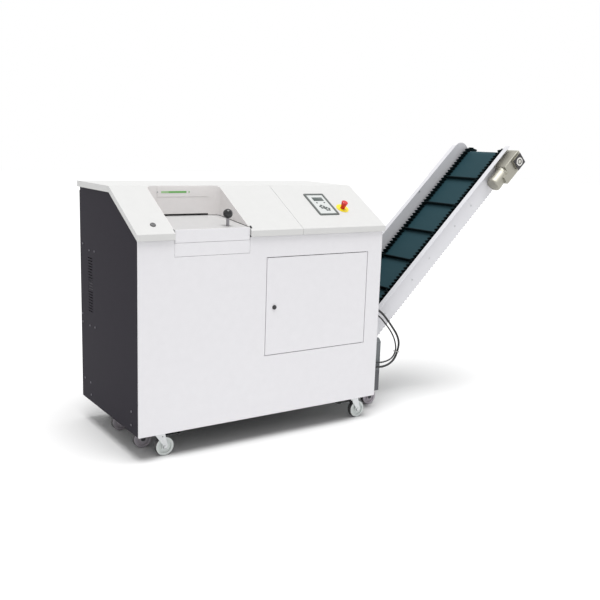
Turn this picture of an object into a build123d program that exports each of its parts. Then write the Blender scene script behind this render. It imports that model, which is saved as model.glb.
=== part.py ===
from build123d import *
import os
from math import atan2, cos, radians, sin, tan

os.makedirs("parts", exist_ok=True)

# Media shredder with an inclined discharge conveyor, in millimetres, +Z up.
# X runs along the front from left to right, Y from the front into the depth.
# The origin is on the floor, under the middle of the whole machine.

# Cabinet
CABINET_WIDTH = 1500
CABINET_DEPTH = 805
UNDERSIDE_HEIGHT = 138
FRONT_HEIGHT = 982
REAR_HEIGHT = 1172
SHEET = 2
SEAM = 1.5
CORNER_RETURN = 9
EDGE_FOLD = 15
SEAT = 0.3
OVERRUN = 5

# Hood
HOOD_TOP = 1223
HOOD_FRONT_TOP = 1016
HOOD_BEND = 347
HOOD_SIDE_OVERHANG = 9
HOOD_FRONT_OVERHANG = 12.5
HOOD_BACK_OVERHANG = 12
HOOD_SKIRT = 32
HOOD_EDGE_RADIUS = 3
CONTROL_HOOD_WIDTH = 561

# Hinges of the hood
HINGE_RADIUS = 4.5
HINGE_PIN_RADIUS = 2
HINGE_KNUCKLE = 40
HINGE_LEAF = 45
HINGE_LENGTH_SHARE = 3
HINGE_LEFT_PLACE = 160
HINGE_FROM_SPLIT = 159
HINGE_PLACES = (HINGE_LEFT_PLACE, CABINET_WIDTH - CONTROL_HOOD_WIDTH - HINGE_FROM_SPLIT)

# Feed recess and drawer
RECESS_LEFT = 192
RECESS_WIDTH = 424
RECESS_CORNER = 26
RECESS_FRONT_INSET = 25
TRAY_FRONT_TOP = 1031
TRAY_RISE_ANGLE = 5.4
TRAY_SHEET = 3
TRAY_SIDE_GAP = 1.5
TRAY_LENGTH = 604
TRAY_TO_LINER = 2.5
FEED_SLOT = 11
APRON_BOTTOM = 968
STRIP_BOTTOM = 900
POCKET_LEFT = 92
POCKET_WIDTH = 240
POCKET_START = 372
POCKET_LENGTH = 222
POCKET_DEPTH = 57
CHEEK_START = 32
RUNNER_WIDTH = 12
RUNNER_HEIGHT = 10
KNOB_FROM_TRAY_LEFT = 321
KNOB_INSET = 54
KNOB_STEM_RADIUS = 8
KNOB_BALL_RADIUS = 25
KNOB_HEIGHT = 64
STEM_SPIGOT = 5
BACK_PANEL_TOP = 1163
BACK_PANEL_INSET = 62.5
BACK_PANEL_SHEET = 1.5
UPPER_PLATE_SHEET = 3
UPPER_PLATE_GAP = 2.5
LED_WIDTH = 146
LED_HEIGHT = 10
LED_LEFT = 276
LED_CENTRE = 1190
LED_PROUD = 1

# Service door
DOOR_RIGHT_INSET = 104
DOOR_WIDTH = 671
DOOR_BOTTOM = 339
DOOR_TOP = 867
DOOR_GAP = 4
DOOR_PIVOT_INSET = 4.5
DOOR_PIN_RADIUS = 2
LATCH_INSET = 50
LATCH_HEIGHT = 599
LATCH_RADIUS = 12
LATCH_PROUD = 6
LATCH_SHANK_RADIUS = 8
LATCH_CAM = 68
LATCH_CAM_WIDTH = 16
LATCH_CAM_SHEET = 3

# Side louvres
LOUVRE_COUNT = 20
LOUVRE_PITCH = 15.5
LOUVRE_WIDTH = 66
LOUVRE_HEIGHT = 5
LOUVRE_FROM_BACK = 153
VENT_FROM_RIGHT = 440
LOUVRE_CENTRE = 668

# Controls on the hood
PANEL_FROM_SPLIT = 178
PANEL_WIDTH = 137
PANEL_LENGTH = 207
PANEL_FROM_EDGE = 116
PANEL_FRAME = 13
PANEL_FRAME_HEIGHT = 5
PANEL_CORNER = 8
ESTOP_FROM_SPLIT = 370
ESTOP_FROM_EDGE = 177
ESTOP_PLATE_RADIUS = 37.5
ESTOP_PLATE_SHEET = 3
ESTOP_CAP_RADIUS = 20
ESTOP_NECK_RADIUS = 13
ESTOP_SHANK_RADIUS = 10
ESTOP_HEIGHT = 45
ESTOP_CAP = 27
ESTOP_CAP_FOOT_RADIUS = 14
ESTOP_TRAVEL = 6
ESTOP_CROWN = 4
HOOD_LOCK_PLACE = 100
HOOD_LOCK_FROM_EDGE = 75
HOOD_LOCK_RADIUS = 14.5
HOOD_LOCK_DOME = 7
HOOD_LOCK_SHANK = 9
HOOD_LOCK_REACH = 24
HOOD_LOCK_CROWN = 4.7
HOOD_LOCK_CAM = 45
HOOD_LOCK_SLOT = 11.6

# Base frame
LEG = 50
LEG_WALL = 4
BEAM_TOP = 690
BEAM_SPACING = 320
FRAME_TOP = 930
PORT_FRONT = 150
PORT_REAR = 612
PORT_TOP = 470

# Cutting unit
CUTTER_LEFT = 285
CUTTER_HEIGHT = 800
CUTTER_CENTRE = 480
SHAFT_SPACING = 120
DISC_RADIUS = 74
DISC_ROOT_RADIUS = 62
DISC_THICKNESS = 15
DISC_CLEARANCE = 0.6
DISC_COUNT = 8
DISC_TIPS = 3
SPACER_RADIUS = 42
JOURNAL_RADIUS = 22
BEARING_RADIUS = 36
END_PLATE = 20
END_PLATE_FOOT = 25
END_PLATE_DROP = 96
END_PLATE_RISE = 92
BOSS = 12
FIT = 0.1
RUNNING_GAP = 0.3
COMB_RADIUS_GAP = 3
COMB_GAP = 0.8
COMB_BAR = 14
GEAR_TEETH = 20
GEAR_WIDTH = 26
GEAR_ADDENDUM = 5
GEAR_DEDENDUM = 6.5
GEAR_OFFSET = 3
COUPLING_RADIUS = 40
COUPLING_LENGTH = 84
GEARBOX_RADIUS = 84
GEARBOX_LENGTH = 250
GEARBOX_FLANGE = 18
MOTOR_RADIUS = 74
MOTOR_LENGTH = 250
MOTOR_FIN_COUNT = 28
MOTOR_FIN = 9
MOTOR_FIN_WIDTH = 3
MOTOR_COWL = 62
MOTOR_BOX_SHARE = 0.62
MOTOR_BOX_RISE = 22
GEARBOX_RIBS = 3
OUTPUT_RADIUS = 18
OUTPUT_LENGTH = 31
HOOK_MIDDLE_SHARE = 0.46
HOOK_TIP_SHARE = 0.94
TOOTH_ROOT_SHARE = 0.33
TOOTH_TIP_SHARE = 0.14
COMB_HALF_HEIGHT = 30
COMB_FINGER = 12
COUPLING_WAIST = 17
JAW_COUNT = 3
JAW_DEPTH_SHARE = 0.7

# Hopper and chute
THROAT_WALL = 2
HOPPER_BOTTOM = 884
HOPPER_MOUTH_DEPTH = 130
CHUTE_TOP = 704
CHUTE_BOTTOM = 222
CHUTE_TOP_DEPTH = 250
CHUTE_BOTTOM_DEPTH = 214
CHUTE_LIP = 16
CHEEK_ARCH_TOP = 894

# Conveyor
SLOPE_ANGLE = 44.06
BEND_FROM_RIGHT = 127
BEND_RADIUS = 160
RUN_HEIGHT = 112
INCLINE_LENGTH = 1839
TAIL_PLACE = 150
DRUM_RADIUS = 50
BELT_THICKNESS = 4
BELT_FRONT = 205
BELT_WIDTH = 330
SIDEWALL_HEIGHT = 26
SIDEWALL_THICKNESS = 9
CLEAT_HEIGHT = 22
CLEAT_THICKNESS = 6
CLEAT_PITCH = 245
PLATE_NEAR = 187
PLATE_FAR = 553
PLATE_SHEET = 3
PLATE_RISE = 82
PLATE_DROP = 60
PLATE_FOOT_DROP = 82
PLATE_FOOT = 70
FAR_PLATE_RISE = 143
FAR_PLATE_CORNER = 72
PLATE_END = 54
PLATE_END_CHAMFER = 30
PLATE_TAIL_END = 58
PLATE_FLANGE = 32
SHAFT_BORE_GAP = 2
DRUM_SHAFT_RADIUS = 14
DRUM_END_GAP = 5
SLIDER_SHEET = 2
SLIDER_FLANGE = 28
SLIDER_DRUM_GAP = 68
BEND_ROLLER_RADIUS = 30
ROLLER_SHAFT_RADIUS = 8
BEARING_BLOCK = 74
BEARING_BLOCK_DEPTH = 22
BEARING_BLOCK_CORNER = 14
BEARING_BOSS_SHARE = 0.38

# Conveyor gearmotor
HOUSING_HALF = 53
HOUSING_TAIL = 110
HOUSING_FRONT_GAP = 92
HOUSING_CORNER = 9
HOUSING_EDGE = 3
HOUSING_COVER = 70
HOUSING_COVER_DEPTH = 9
HOUSING_RING_OUTER = 24
HOUSING_RING_INNER = 15
DRIVE_MOTOR_RADIUS = 50
DRIVE_MOTOR_LENGTH = 122
DRIVE_MOTOR_NECK = 34
DRIVE_MOTOR_SET_BACK = 2
DRIVE_MOTOR_INSET = 3
MOTOR_RIM = 14
DRIVE_BOX_SIZE = 56
DRIVE_BOX_DEPTH = 34
DRIVE_BOX_CORNER = 4.5

# Conveyor trolley
TROLLEY_REACH = 190
TROLLEY_BEAM_WIDTH = 40
TROLLEY_BEAM_BOTTOM = 26
TROLLEY_BEAM_TOP = 24
TROLLEY_WHEEL_NEAR = 220
TROLLEY_WHEEL_FAR = 519
TROLLEY_WHEEL_LEFT = 110
TROLLEY_WHEEL_REACH = 133
CROSS_PLATE_LENGTH = 90
CROSS_PLATE_INSET = 250
CROSS_PLATE_REACH = 140
CROSS_PLATE_PLACES = (
    150,
    700,
    CABINET_WIDTH - CROSS_PLATE_INSET,
    CABINET_WIDTH + CROSS_PLATE_REACH,
)

# Casters
WHEEL_RADIUS = 50
WHEEL_WIDTH = 32
WHEEL_HUB_RADIUS = 20
WHEEL_HUB_WIDTH = 38
WHEEL_CORNER = 5
AXLE_RADIUS = 6
AXLE_HEAD = 3
AXLE_HEAD_SHARE = 1.5
WHEEL_RIM_SHARE = 0.72
WHEEL_DISH = 6
FORK_SHEET = 3
FORK_HALF = 27
FORK_EYE = 13
FORK_EYE_TOP_SHARE = 0.6
FORK_EYE_BOTTOM_SHARE = 0.75
FORK_FOOT_SHARE = 0.7
KINGPIN_RADIUS = 8
PEDAL_TURNS = {"front_left": 1, "front_right": -1}
PEDAL_PIVOT = 14
PEDAL_PIN_RADIUS = 3
PEDAL_DROP = 14.5
PEDAL_INNER = 12
FORK_GAP = 1
CASTER_TRAIL = 30
CASTER_PLATE_LENGTH = 105
CASTER_PLATE_WIDTH = 82
CASTER_PLATE_SHEET = 4
CASTER_HEAD_RADIUS = 31
CASTER_HEAD = 12
CASTER_HEAD_GAP = 0.5
CASTER_LEFT = 135
CASTER_RIGHT_INSET = 113
CASTER_FRONT = 66
CASTER_REAR_INSET = 60
PEDAL_LENGTH = 76
PEDAL_WIDTH = 30
PEDAL_SHEET = 5

# Terminal box and cables
BOX_FRONT = 122
BOX_DEPTH = 58
BOX_REACH = 136
BOX_BOTTOM = -23
BOX_TOP = 306
BOX_BEVEL = 20
CABLE_PLANE = 100
POWER_CABLE_RADIUS = 6.5
SENSOR_CABLE_RADIUS = 4.5
POWER_OUT_HEIGHT = 500
SENSOR_OUT_HEIGHT = 471
POWER_IN_HEIGHT = 137
SENSOR_IN_HEIGHT = 166
GLAND_WALL = 5.5
GLAND_LENGTH = 24
GLAND_NUT = 9
GLAND_COLLAR = 3
CABLE_ARC_SHARE = 0.45

# Places worked out from the sizes
SLOPE = radians(SLOPE_ANGLE)
BEND_PLACE = CABINET_WIDTH - BEND_FROM_RIGHT
HEAD_PLACE = BEND_PLACE + INCLINE_LENGTH * cos(SLOPE)
HEAD_REACH = HEAD_PLACE + DRUM_RADIUS + BELT_THICKNESS + SIDEWALL_HEIGHT
LEFT = HOOD_SIDE_OVERHANG - (HOOD_SIDE_OVERHANG + HEAD_REACH) / 2
RIGHT = LEFT + CABINET_WIDTH
FRONT = HOOD_FRONT_OVERHANG - (HOOD_FRONT_OVERHANG + CABINET_DEPTH + HOOD_BACK_OVERHANG) / 2
BACK = FRONT + CABINET_DEPTH
BASE = UNDERSIDE_HEIGHT
HOOD_LEFT = LEFT - HOOD_SIDE_OVERHANG
HOOD_RIGHT = RIGHT + HOOD_SIDE_OVERHANG
HOOD_FRONT = FRONT - HOOD_FRONT_OVERHANG
HOOD_BACK = BACK + HOOD_BACK_OVERHANG
HOOD_RISE = HOOD_TOP - HOOD_FRONT_TOP
HOOD_RUN = HOOD_FRONT_OVERHANG + HOOD_BEND
HOOD_SLOPE = atan2(HOOD_RISE, HOOD_RUN)
SPLIT = RIGHT - CONTROL_HOOD_WIDTH
SPLIT_PLACE = CABINET_WIDTH - CONTROL_HOOD_WIDTH
PANEL_LEFT = SPLIT_PLACE + PANEL_FROM_SPLIT
ESTOP_PLACE = SPLIT_PLACE + ESTOP_FROM_SPLIT
DOOR_RIGHT = CABINET_WIDTH - DOOR_RIGHT_INSET
DOOR_LEFT = DOOR_RIGHT - DOOR_WIDTH
RECESS_RIGHT = RECESS_LEFT + RECESS_WIDTH
TRAY_RISE = radians(TRAY_RISE_ANGLE)


def upright(y):
    """Plane facing the front, at depth y, with X and Z as its axes."""
    return Plane.XZ.offset(-y)


def across(x):
    """Plane facing the side, at x, with Y and Z as its axes."""
    return Plane.YZ.offset(x)


def hub(x, centre):
    """Plane facing the side, at x, with its origin on an axis given as (y, z)."""
    return Plane((x, *centre), x_dir=(0, 1, 0), z_dir=(1, 0, 0))


def level(z):
    """Horizontal plane at height z."""
    return Plane.XY.offset(z)


def block(x, y, z, mode=Mode.ADD, plane=Plane.XY):
    """Adds a block that spans the three (low, high) pairs on a plane to the part in progress."""
    with BuildSketch(plane.offset(z[0])) as face:
        with Locations(((x[0] + x[1]) / 2, (y[0] + y[1]) / 2)):
            Rectangle(x[1] - x[0], y[1] - y[0])
    extrude(face.sketch, amount=z[1] - z[0], mode=mode)


def prism(plane, points, amount, mode=Mode.ADD):
    """Adds the outline through the points, drawn on the plane and extruded."""
    with BuildSketch(plane) as face:
        with BuildLine():
            Polyline(*points, close=True)
        make_face()
    extrude(face.sketch, amount=amount, mode=mode)


def disc(plane, centre, radius, amount, mode=Mode.ADD):
    """Adds a round bar or bore on the plane."""
    with BuildSketch(plane) as face:
        with Locations(centre):
            Circle(radius)
    extrude(face.sketch, amount=amount, mode=mode)


def finish(piece, name):
    """Labels a finished piece and writes it."""
    piece.label = name
    export_step(piece, f"parts/{name}.step")


def hood_height(y, drop=0):
    """Height of the hood's top at depth y, less a drop."""
    rise = min(y - HOOD_FRONT, HOOD_RUN) * tan(HOOD_SLOPE)
    return BASE + HOOD_FRONT_TOP + rise - drop


def hood_outline(inset, drop, depth):
    """Side outline of a band under the hood's top, as (y, z) points."""
    front = HOOD_FRONT + inset
    back = HOOD_BACK - inset
    bend = FRONT + HOOD_BEND
    return [
        (front, hood_height(front, drop + depth)),
        (front, hood_height(front, drop)),
        (bend, hood_height(bend, drop)),
        (back, hood_height(back, drop)),
        (back, hood_height(back, drop + depth)),
        (bend, hood_height(bend, drop + depth)),
    ]


# Plane of the hood's slope, from its left front edge, with X to the right and Y up the slope
slope_plane = Plane(
    origin=(LEFT, HOOD_FRONT, BASE + HOOD_FRONT_TOP),
    x_dir=(1, 0, 0),
    z_dir=(0, -sin(HOOD_SLOPE), cos(HOOD_SLOPE)),
)
# Plane of the tray's top, from its left front corner, with Y along the drawer's slide
tray_plane = Plane(
    origin=(LEFT + RECESS_LEFT, FRONT, BASE + TRAY_FRONT_TOP),
    x_dir=(1, 0, 0),
    z_dir=(0, -sin(TRAY_RISE), cos(TRAY_RISE)),
)

# Base frame of welded angle
INNER_LEFT = LEFT + SHEET
INNER_RIGHT = RIGHT - SHEET
INNER_FRONT = FRONT + SHEET
INNER_BACK = BACK - SHEET


def angle_post(x, y, x_turn, y_turn, top):
    """Adds a corner post of angle, its legs turned to +1 or -1 along X and Y."""
    legs = sorted((x, x + x_turn * LEG))
    wall = sorted((x, x + x_turn * LEG_WALL))
    block(legs, sorted((y, y + y_turn * LEG_WALL)), (BASE, top))
    block(wall, sorted((y, y + y_turn * LEG)), (BASE, top))


with BuildPart() as base_frame:
    for post_x, turn in ((INNER_LEFT, 1), (INNER_RIGHT, -1)):
        angle_post(post_x, INNER_FRONT, turn, 1, BASE + FRAME_TOP)
        angle_post(post_x, INNER_BACK, turn, -1, BASE + FRAME_TOP)
    # Front and rear bottom rails
    front_flat = CASTER_FRONT + CASTER_PLATE_WIDTH / 2 - SHEET
    rear_flat = CASTER_REAR_INSET + CASTER_PLATE_WIDTH / 2 - SHEET
    for rail_y, turn, flat_depth in ((INNER_FRONT, 1, front_flat), (INNER_BACK, -1, rear_flat)):
        flat = sorted((rail_y, rail_y + turn * flat_depth))
        block((INNER_LEFT, INNER_RIGHT), flat, (BASE, BASE + LEG_WALL))
        wall = sorted((rail_y, rail_y + turn * LEG_WALL))
        block((INNER_LEFT, INNER_RIGHT), wall, (BASE, BASE + LEG))
    # Left bottom rail, and right stubs beside the conveyor's port
    block((INNER_LEFT, INNER_LEFT + LEG), (INNER_FRONT, INNER_BACK), (BASE, BASE + LEG_WALL))
    block((INNER_LEFT, INNER_LEFT + LEG_WALL), (INNER_FRONT, INNER_BACK), (BASE, BASE + LEG))
    right_wall = (INNER_RIGHT - LEG_WALL, INNER_RIGHT)
    block(right_wall, (INNER_FRONT, FRONT + PORT_FRONT - SEAM), (BASE, BASE + LEG))
    block(right_wall, (FRONT + PORT_REAR + SEAM, INNER_BACK), (BASE, BASE + LEG))
    # Cross rails at mid height and at the top of the side walls
    for rail_top in (BEAM_TOP, FRAME_TOP):
        for wall_x, turn in ((INNER_LEFT, 1), (INNER_RIGHT, -1)):
            leg = sorted((wall_x, wall_x + turn * LEG))
            wall = sorted((wall_x, wall_x + turn * LEG_WALL))
            top = BASE + rail_top
            block(wall, (INNER_FRONT, INNER_BACK), (top - LEG, top))
            block(leg, (INNER_FRONT, INNER_BACK), (top - LEG_WALL, top))
    # Rear top rail
    top = BASE + FRAME_TOP
    block((INNER_LEFT, INNER_RIGHT), (INNER_BACK - LEG_WALL, INNER_BACK), (top - LEG, top))
    # Long beams that carry the cutting unit, the gearbox and the motor
    for beam_turn in (-1, 1):
        beam_y = FRONT + CUTTER_CENTRE + beam_turn * BEAM_SPACING / 2
        top = BASE + BEAM_TOP
        with BuildSketch(across(INNER_LEFT + LEG_WALL)):
            with Locations((beam_y, top + LEG / 2)):
                Rectangle(LEG, LEG)
                Rectangle(LEG - 2 * LEG_WALL, LEG - 2 * LEG_WALL, mode=Mode.SUBTRACT)
        extrude(amount=INNER_RIGHT - INNER_LEFT - 2 * LEG_WALL)
finish(base_frame.part, "base_frame")

DECK = BASE + BEAM_TOP + LEG

# Front sheet with its corner returns, the drawer's notch and the folded door opening
notch = (LEFT + RECESS_LEFT - SEAM, LEFT + RECESS_RIGHT + SEAM)
opening_x = (LEFT + DOOR_LEFT - DOOR_GAP, LEFT + DOOR_RIGHT + DOOR_GAP)
opening_z = (BASE + DOOR_BOTTOM - DOOR_GAP, BASE + DOOR_TOP + DOOR_GAP)
with BuildPart() as front_panel:
    block((LEFT, RIGHT), (FRONT, FRONT + SHEET), (BASE, BASE + FRONT_HEIGHT))
    for side in ((LEFT, LEFT + SHEET), (RIGHT - SHEET, RIGHT)):
        block(side, (FRONT, FRONT + CORNER_RETURN), (BASE, BASE + FRONT_HEIGHT))
    corners = front_panel.edges().filter_by(Axis.Z).group_by(Axis.Y)[0]
    fillet(corners, SHEET / 2)
    block(
        (opening_x[0] - SHEET, opening_x[1] + SHEET),
        (FRONT, FRONT + EDGE_FOLD),
        (opening_z[0] - SHEET, opening_z[1] + SHEET),
    )
    block(opening_x, (FRONT - OVERRUN, FRONT + EDGE_FOLD + OVERRUN), opening_z, Mode.SUBTRACT)
    block(
        notch,
        (FRONT - OVERRUN, FRONT + SHEET + OVERRUN),
        (BASE + STRIP_BOTTOM - SEAM, BASE + FRONT_HEIGHT + OVERRUN),
        Mode.SUBTRACT,
    )
    # Holes for the door's pivot pins, through the opening's top and bottom folds
    pivot = (LEFT + DOOR_RIGHT - DOOR_PIVOT_INSET, FRONT + DOOR_PIVOT_INSET)
    pin_hole = DOOR_PIN_RADIUS + SEAT / 2
    for fold_z in (opening_z[0] - SHEET, opening_z[1]):
        disc(level(fold_z), pivot, pin_hole, SHEET, Mode.SUBTRACT)
finish(front_panel.part, "front_panel")

# Strip under the drawer's apron
with BuildPart() as front_strip:
    strip_x = (LEFT + RECESS_LEFT, LEFT + RECESS_RIGHT)
    block(strip_x, (FRONT, FRONT + SHEET), (BASE + STRIP_BOTTOM, BASE + APRON_BOTTOM - SEAM))
    block(
        strip_x,
        (FRONT, FRONT + EDGE_FOLD),
        (BASE + APRON_BOTTOM - SEAM - SHEET, BASE + APRON_BOTTOM - SEAM),
    )
    block(strip_x, (FRONT, FRONT + EDGE_FOLD), (BASE + STRIP_BOTTOM, BASE + STRIP_BOTTOM + SHEET))
    # Ears that lie behind the front sheet
    ear_x = (strip_x[0] - EDGE_FOLD, strip_x[1] + EDGE_FOLD)
    ear_z = (BASE + STRIP_BOTTOM + EDGE_FOLD, BASE + APRON_BOTTOM - EDGE_FOLD)
    block(ear_x, (FRONT + SHEET, FRONT + 2 * SHEET), ear_z)
finish(front_strip.part, "front_strip")

# Side sheets that follow the hood's slope
side_front = FRONT + CORNER_RETURN + SEAM
side_back = BACK - CORNER_RETURN - SEAM
hood_inside = SHEET / cos(HOOD_SLOPE)


def side_points(drop):
    """Outline of a side sheet whose top edge lies a drop under the hood's top."""
    bend_y = FRONT + HOOD_BEND
    return [
        (side_front, BASE),
        (side_front, hood_height(side_front, drop)),
        (bend_y, hood_height(bend_y, drop)),
        (side_back, hood_height(side_back, drop)),
        (side_back, BASE),
    ]


with BuildPart() as left_panel:
    prism(across(LEFT), side_points(hood_inside + SEAT), SHEET)
    with BuildSketch(across(LEFT - OVERRUN)) as slots:
        with Locations((BACK - LOUVRE_FROM_BACK, BASE + LOUVRE_CENTRE)):
            with GridLocations(0, LOUVRE_PITCH, 1, LOUVRE_COUNT):
                SlotOverall(LOUVRE_WIDTH, LOUVRE_HEIGHT)
    extrude(slots.sketch, amount=SHEET + 2 * OVERRUN, mode=Mode.SUBTRACT)
finish(left_panel.part, "left_panel")

# Right side sheet, with the conveyor's port and the cables' holes
cable_holes = [
    (FRONT + CABLE_PLANE, BASE + POWER_OUT_HEIGHT, POWER_CABLE_RADIUS),
    (FRONT + CABLE_PLANE, BASE + SENSOR_OUT_HEIGHT, SENSOR_CABLE_RADIUS),
    (FRONT + CABLE_PLANE, BASE + POWER_IN_HEIGHT, POWER_CABLE_RADIUS),
    (FRONT + CABLE_PLANE, BASE + SENSOR_IN_HEIGHT, SENSOR_CABLE_RADIUS),
]
with BuildPart() as right_panel:
    prism(across(RIGHT - SHEET), side_points(hood_inside), SHEET)
    block(
        (RIGHT - SHEET - OVERRUN, RIGHT + OVERRUN),
        (FRONT + PORT_FRONT, FRONT + PORT_REAR),
        (BASE - OVERRUN, BASE + PORT_TOP),
        Mode.SUBTRACT,
    )
    for hole_y, hole_z, cable_radius in cable_holes:
        disc(
            across(RIGHT - SHEET - OVERRUN),
            (hole_y, hole_z),
            cable_radius + SEAM,
            SHEET + 2 * OVERRUN,
            Mode.SUBTRACT,
        )
finish(right_panel.part, "right_panel")

# Rear sheet with its corner returns and a vent for the motor
with BuildPart() as rear_panel:
    block((LEFT, RIGHT), (BACK - SHEET, BACK), (BASE, BASE + REAR_HEIGHT))
    for side in ((LEFT, LEFT + SHEET), (RIGHT - SHEET, RIGHT)):
        block(side, (BACK - CORNER_RETURN, BACK), (BASE, BASE + REAR_HEIGHT))
    corners = rear_panel.edges().filter_by(Axis.Z).group_by(Axis.Y)[-1]
    fillet(corners, SHEET / 2)
    with BuildSketch(upright(BACK + OVERRUN)) as slots:
        with Locations((RIGHT - VENT_FROM_RIGHT, BASE + LOUVRE_CENTRE)):
            with GridLocations(0, LOUVRE_PITCH, 1, LOUVRE_COUNT):
                SlotOverall(LOUVRE_WIDTH, LOUVRE_HEIGHT)
    extrude(slots.sketch, amount=SHEET + 2 * OVERRUN, mode=Mode.SUBTRACT)
finish(rear_panel.part, "rear_panel")


def hood_shell(x_low, x_high):
    """Adds a hood section between two X places: top sheet, skirts and side lips."""
    prism(across(x_low), hood_outline(0, 0, HOOD_SKIRT), x_high - x_low)


# Main hood over the feed, with the notch for the recess
LINER_LEFT = LEFT + RECESS_LEFT
LINER_RIGHT = LEFT + RECESS_RIGHT
with BuildPart() as hood_main:
    hood_shell(HOOD_LEFT, SPLIT - SEAM / 2)
    crest = hood_main.edges().filter_by(Axis.X).group_by(Axis.Z)[-1]
    front_edge = hood_main.edges().filter_by(Axis.X).sort_by(Axis.Y)[:2].sort_by(Axis.Z)[-1]
    fillet([*crest, front_edge], HOOD_EDGE_RADIUS)
    inner = hood_outline(SHEET, hood_inside, HOOD_SKIRT + OVERRUN)
    prism(across(HOOD_LEFT + SHEET), inner, SPLIT - SEAM / 2 - HOOD_LEFT - 2 * SHEET, Mode.SUBTRACT)
    with BuildSketch(level(BASE + FRONT_HEIGHT)) as cut:
        back_line = FRONT + HOOD_BEND + SHEET + SEAT
        front_line = HOOD_FRONT - OVERRUN
        with Locations((LINER_LEFT + RECESS_WIDTH / 2, (back_line + front_line) / 2)):
            Rectangle(RECESS_WIDTH + 2 * (SHEET + SEAT), back_line - front_line)
        fillet(cut.vertices().group_by(Axis.Y)[-1], RECESS_CORNER + SHEET + SEAT)
    extrude(cut.sketch, amount=HOOD_TOP - FRONT_HEIGHT + OVERRUN, mode=Mode.SUBTRACT)
    # Returns that close the skirt's ends beside the drawer
    return_back = HOOD_FRONT + RECESS_FRONT_INSET - SEAT
    return_points = [
        (HOOD_FRONT, hood_height(HOOD_FRONT, HOOD_SKIRT)),
        (HOOD_FRONT, hood_height(HOOD_FRONT, SHEET)),
        (return_back, hood_height(return_back, SHEET)),
        (return_back, hood_height(return_back, HOOD_SKIRT)),
    ]
    for return_x in (LINER_LEFT - 2 * SHEET - SEAT, LINER_RIGHT + SHEET + SEAT):
        prism(across(return_x), return_points, SHEET)
    # Hole for the lock
    disc(
        slope_plane.offset(OVERRUN),
        (HOOD_LOCK_PLACE, HOOD_LOCK_FROM_EDGE),
        HOOD_LOCK_SHANK + SEAT,
        -2 * OVERRUN - SHEET,
        Mode.SUBTRACT,
    )

# Fixed hood over the controls
panel_centre = (PANEL_LEFT + PANEL_WIDTH / 2, PANEL_FROM_EDGE + PANEL_LENGTH / 2)
with BuildPart() as hood_control:
    hood_shell(SPLIT + SEAM / 2, HOOD_RIGHT)
    crest = hood_control.edges().filter_by(Axis.X).group_by(Axis.Z)[-1]
    front_edge = hood_control.edges().filter_by(Axis.X).sort_by(Axis.Y)[:2].sort_by(Axis.Z)[-1]
    fillet([*crest, front_edge], HOOD_EDGE_RADIUS)
    inner_x = SPLIT + SEAM / 2 + SHEET
    prism(across(inner_x), inner, HOOD_RIGHT - SHEET - inner_x, Mode.SUBTRACT)
    with BuildSketch(slope_plane.offset(OVERRUN)) as cut:
        with Locations(panel_centre):
            Rectangle(PANEL_WIDTH - 2 * PANEL_FRAME, PANEL_LENGTH - 2 * PANEL_FRAME)
        with Locations((ESTOP_PLACE, ESTOP_FROM_EDGE)):
            Circle(ESTOP_NECK_RADIUS + SEAT)
    extrude(cut.sketch, amount=-2 * OVERRUN - SHEET, mode=Mode.SUBTRACT)
finish(hood_control.part, "hood_control")

# Hinges at the hood's back edge: fixed leaf and pin here, knuckles on the hood
hinge_y = BACK + SHEET + HINGE_RADIUS
hinge_z = BASE + HOOD_TOP - HOOD_SKIRT - HINGE_RADIUS - SEAM
knuckle_gap = HINGE_KNUCKLE / 2 + SEAT
with BuildPart() as hood_hinges:
    for place in HINGE_PLACES:
        x = LEFT + place
        hinge_length = HINGE_LENGTH_SHARE * HINGE_KNUCKLE
        leaf_x = (x - hinge_length / 2, x + hinge_length / 2)
        leaf_top = hinge_z - HINGE_RADIUS - SEAT
        block(leaf_x, (BACK, BACK + SHEET), (leaf_top - HINGE_LEAF, leaf_top))
        for end in ((leaf_x[0], x - knuckle_gap), (x + knuckle_gap, leaf_x[1])):
            disc(across(end[0]), (hinge_y, hinge_z), HINGE_RADIUS, end[1] - end[0])
            block(end, (BACK, hinge_y), (leaf_top - SHEET, hinge_z))
        disc(across(leaf_x[0]), (hinge_y, hinge_z), HINGE_PIN_RADIUS, hinge_length)
finish(hood_hinges.part, "hood_hinges")

with BuildPart() as hood_with_knuckles:
    add(hood_main.part)
    for place in HINGE_PLACES:
        x = LEFT + place
        knuckle_x = (x - HINGE_KNUCKLE / 2, x + HINGE_KNUCKLE / 2)
        disc(across(knuckle_x[0]), (hinge_y, hinge_z), HINGE_RADIUS, HINGE_KNUCKLE)
        leaf_y = (HOOD_BACK - SHEET - SHEET, HOOD_BACK - SHEET)
        block(knuckle_x, leaf_y, (hinge_z, BASE + HOOD_TOP - SHEET))
        pin_hole = HINGE_PIN_RADIUS + SEAT / 2
        disc(across(knuckle_x[0]), (hinge_y, hinge_z), pin_hole, HINGE_KNUCKLE, Mode.SUBTRACT)
finish(hood_with_knuckles.part, "hood_main")

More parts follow.
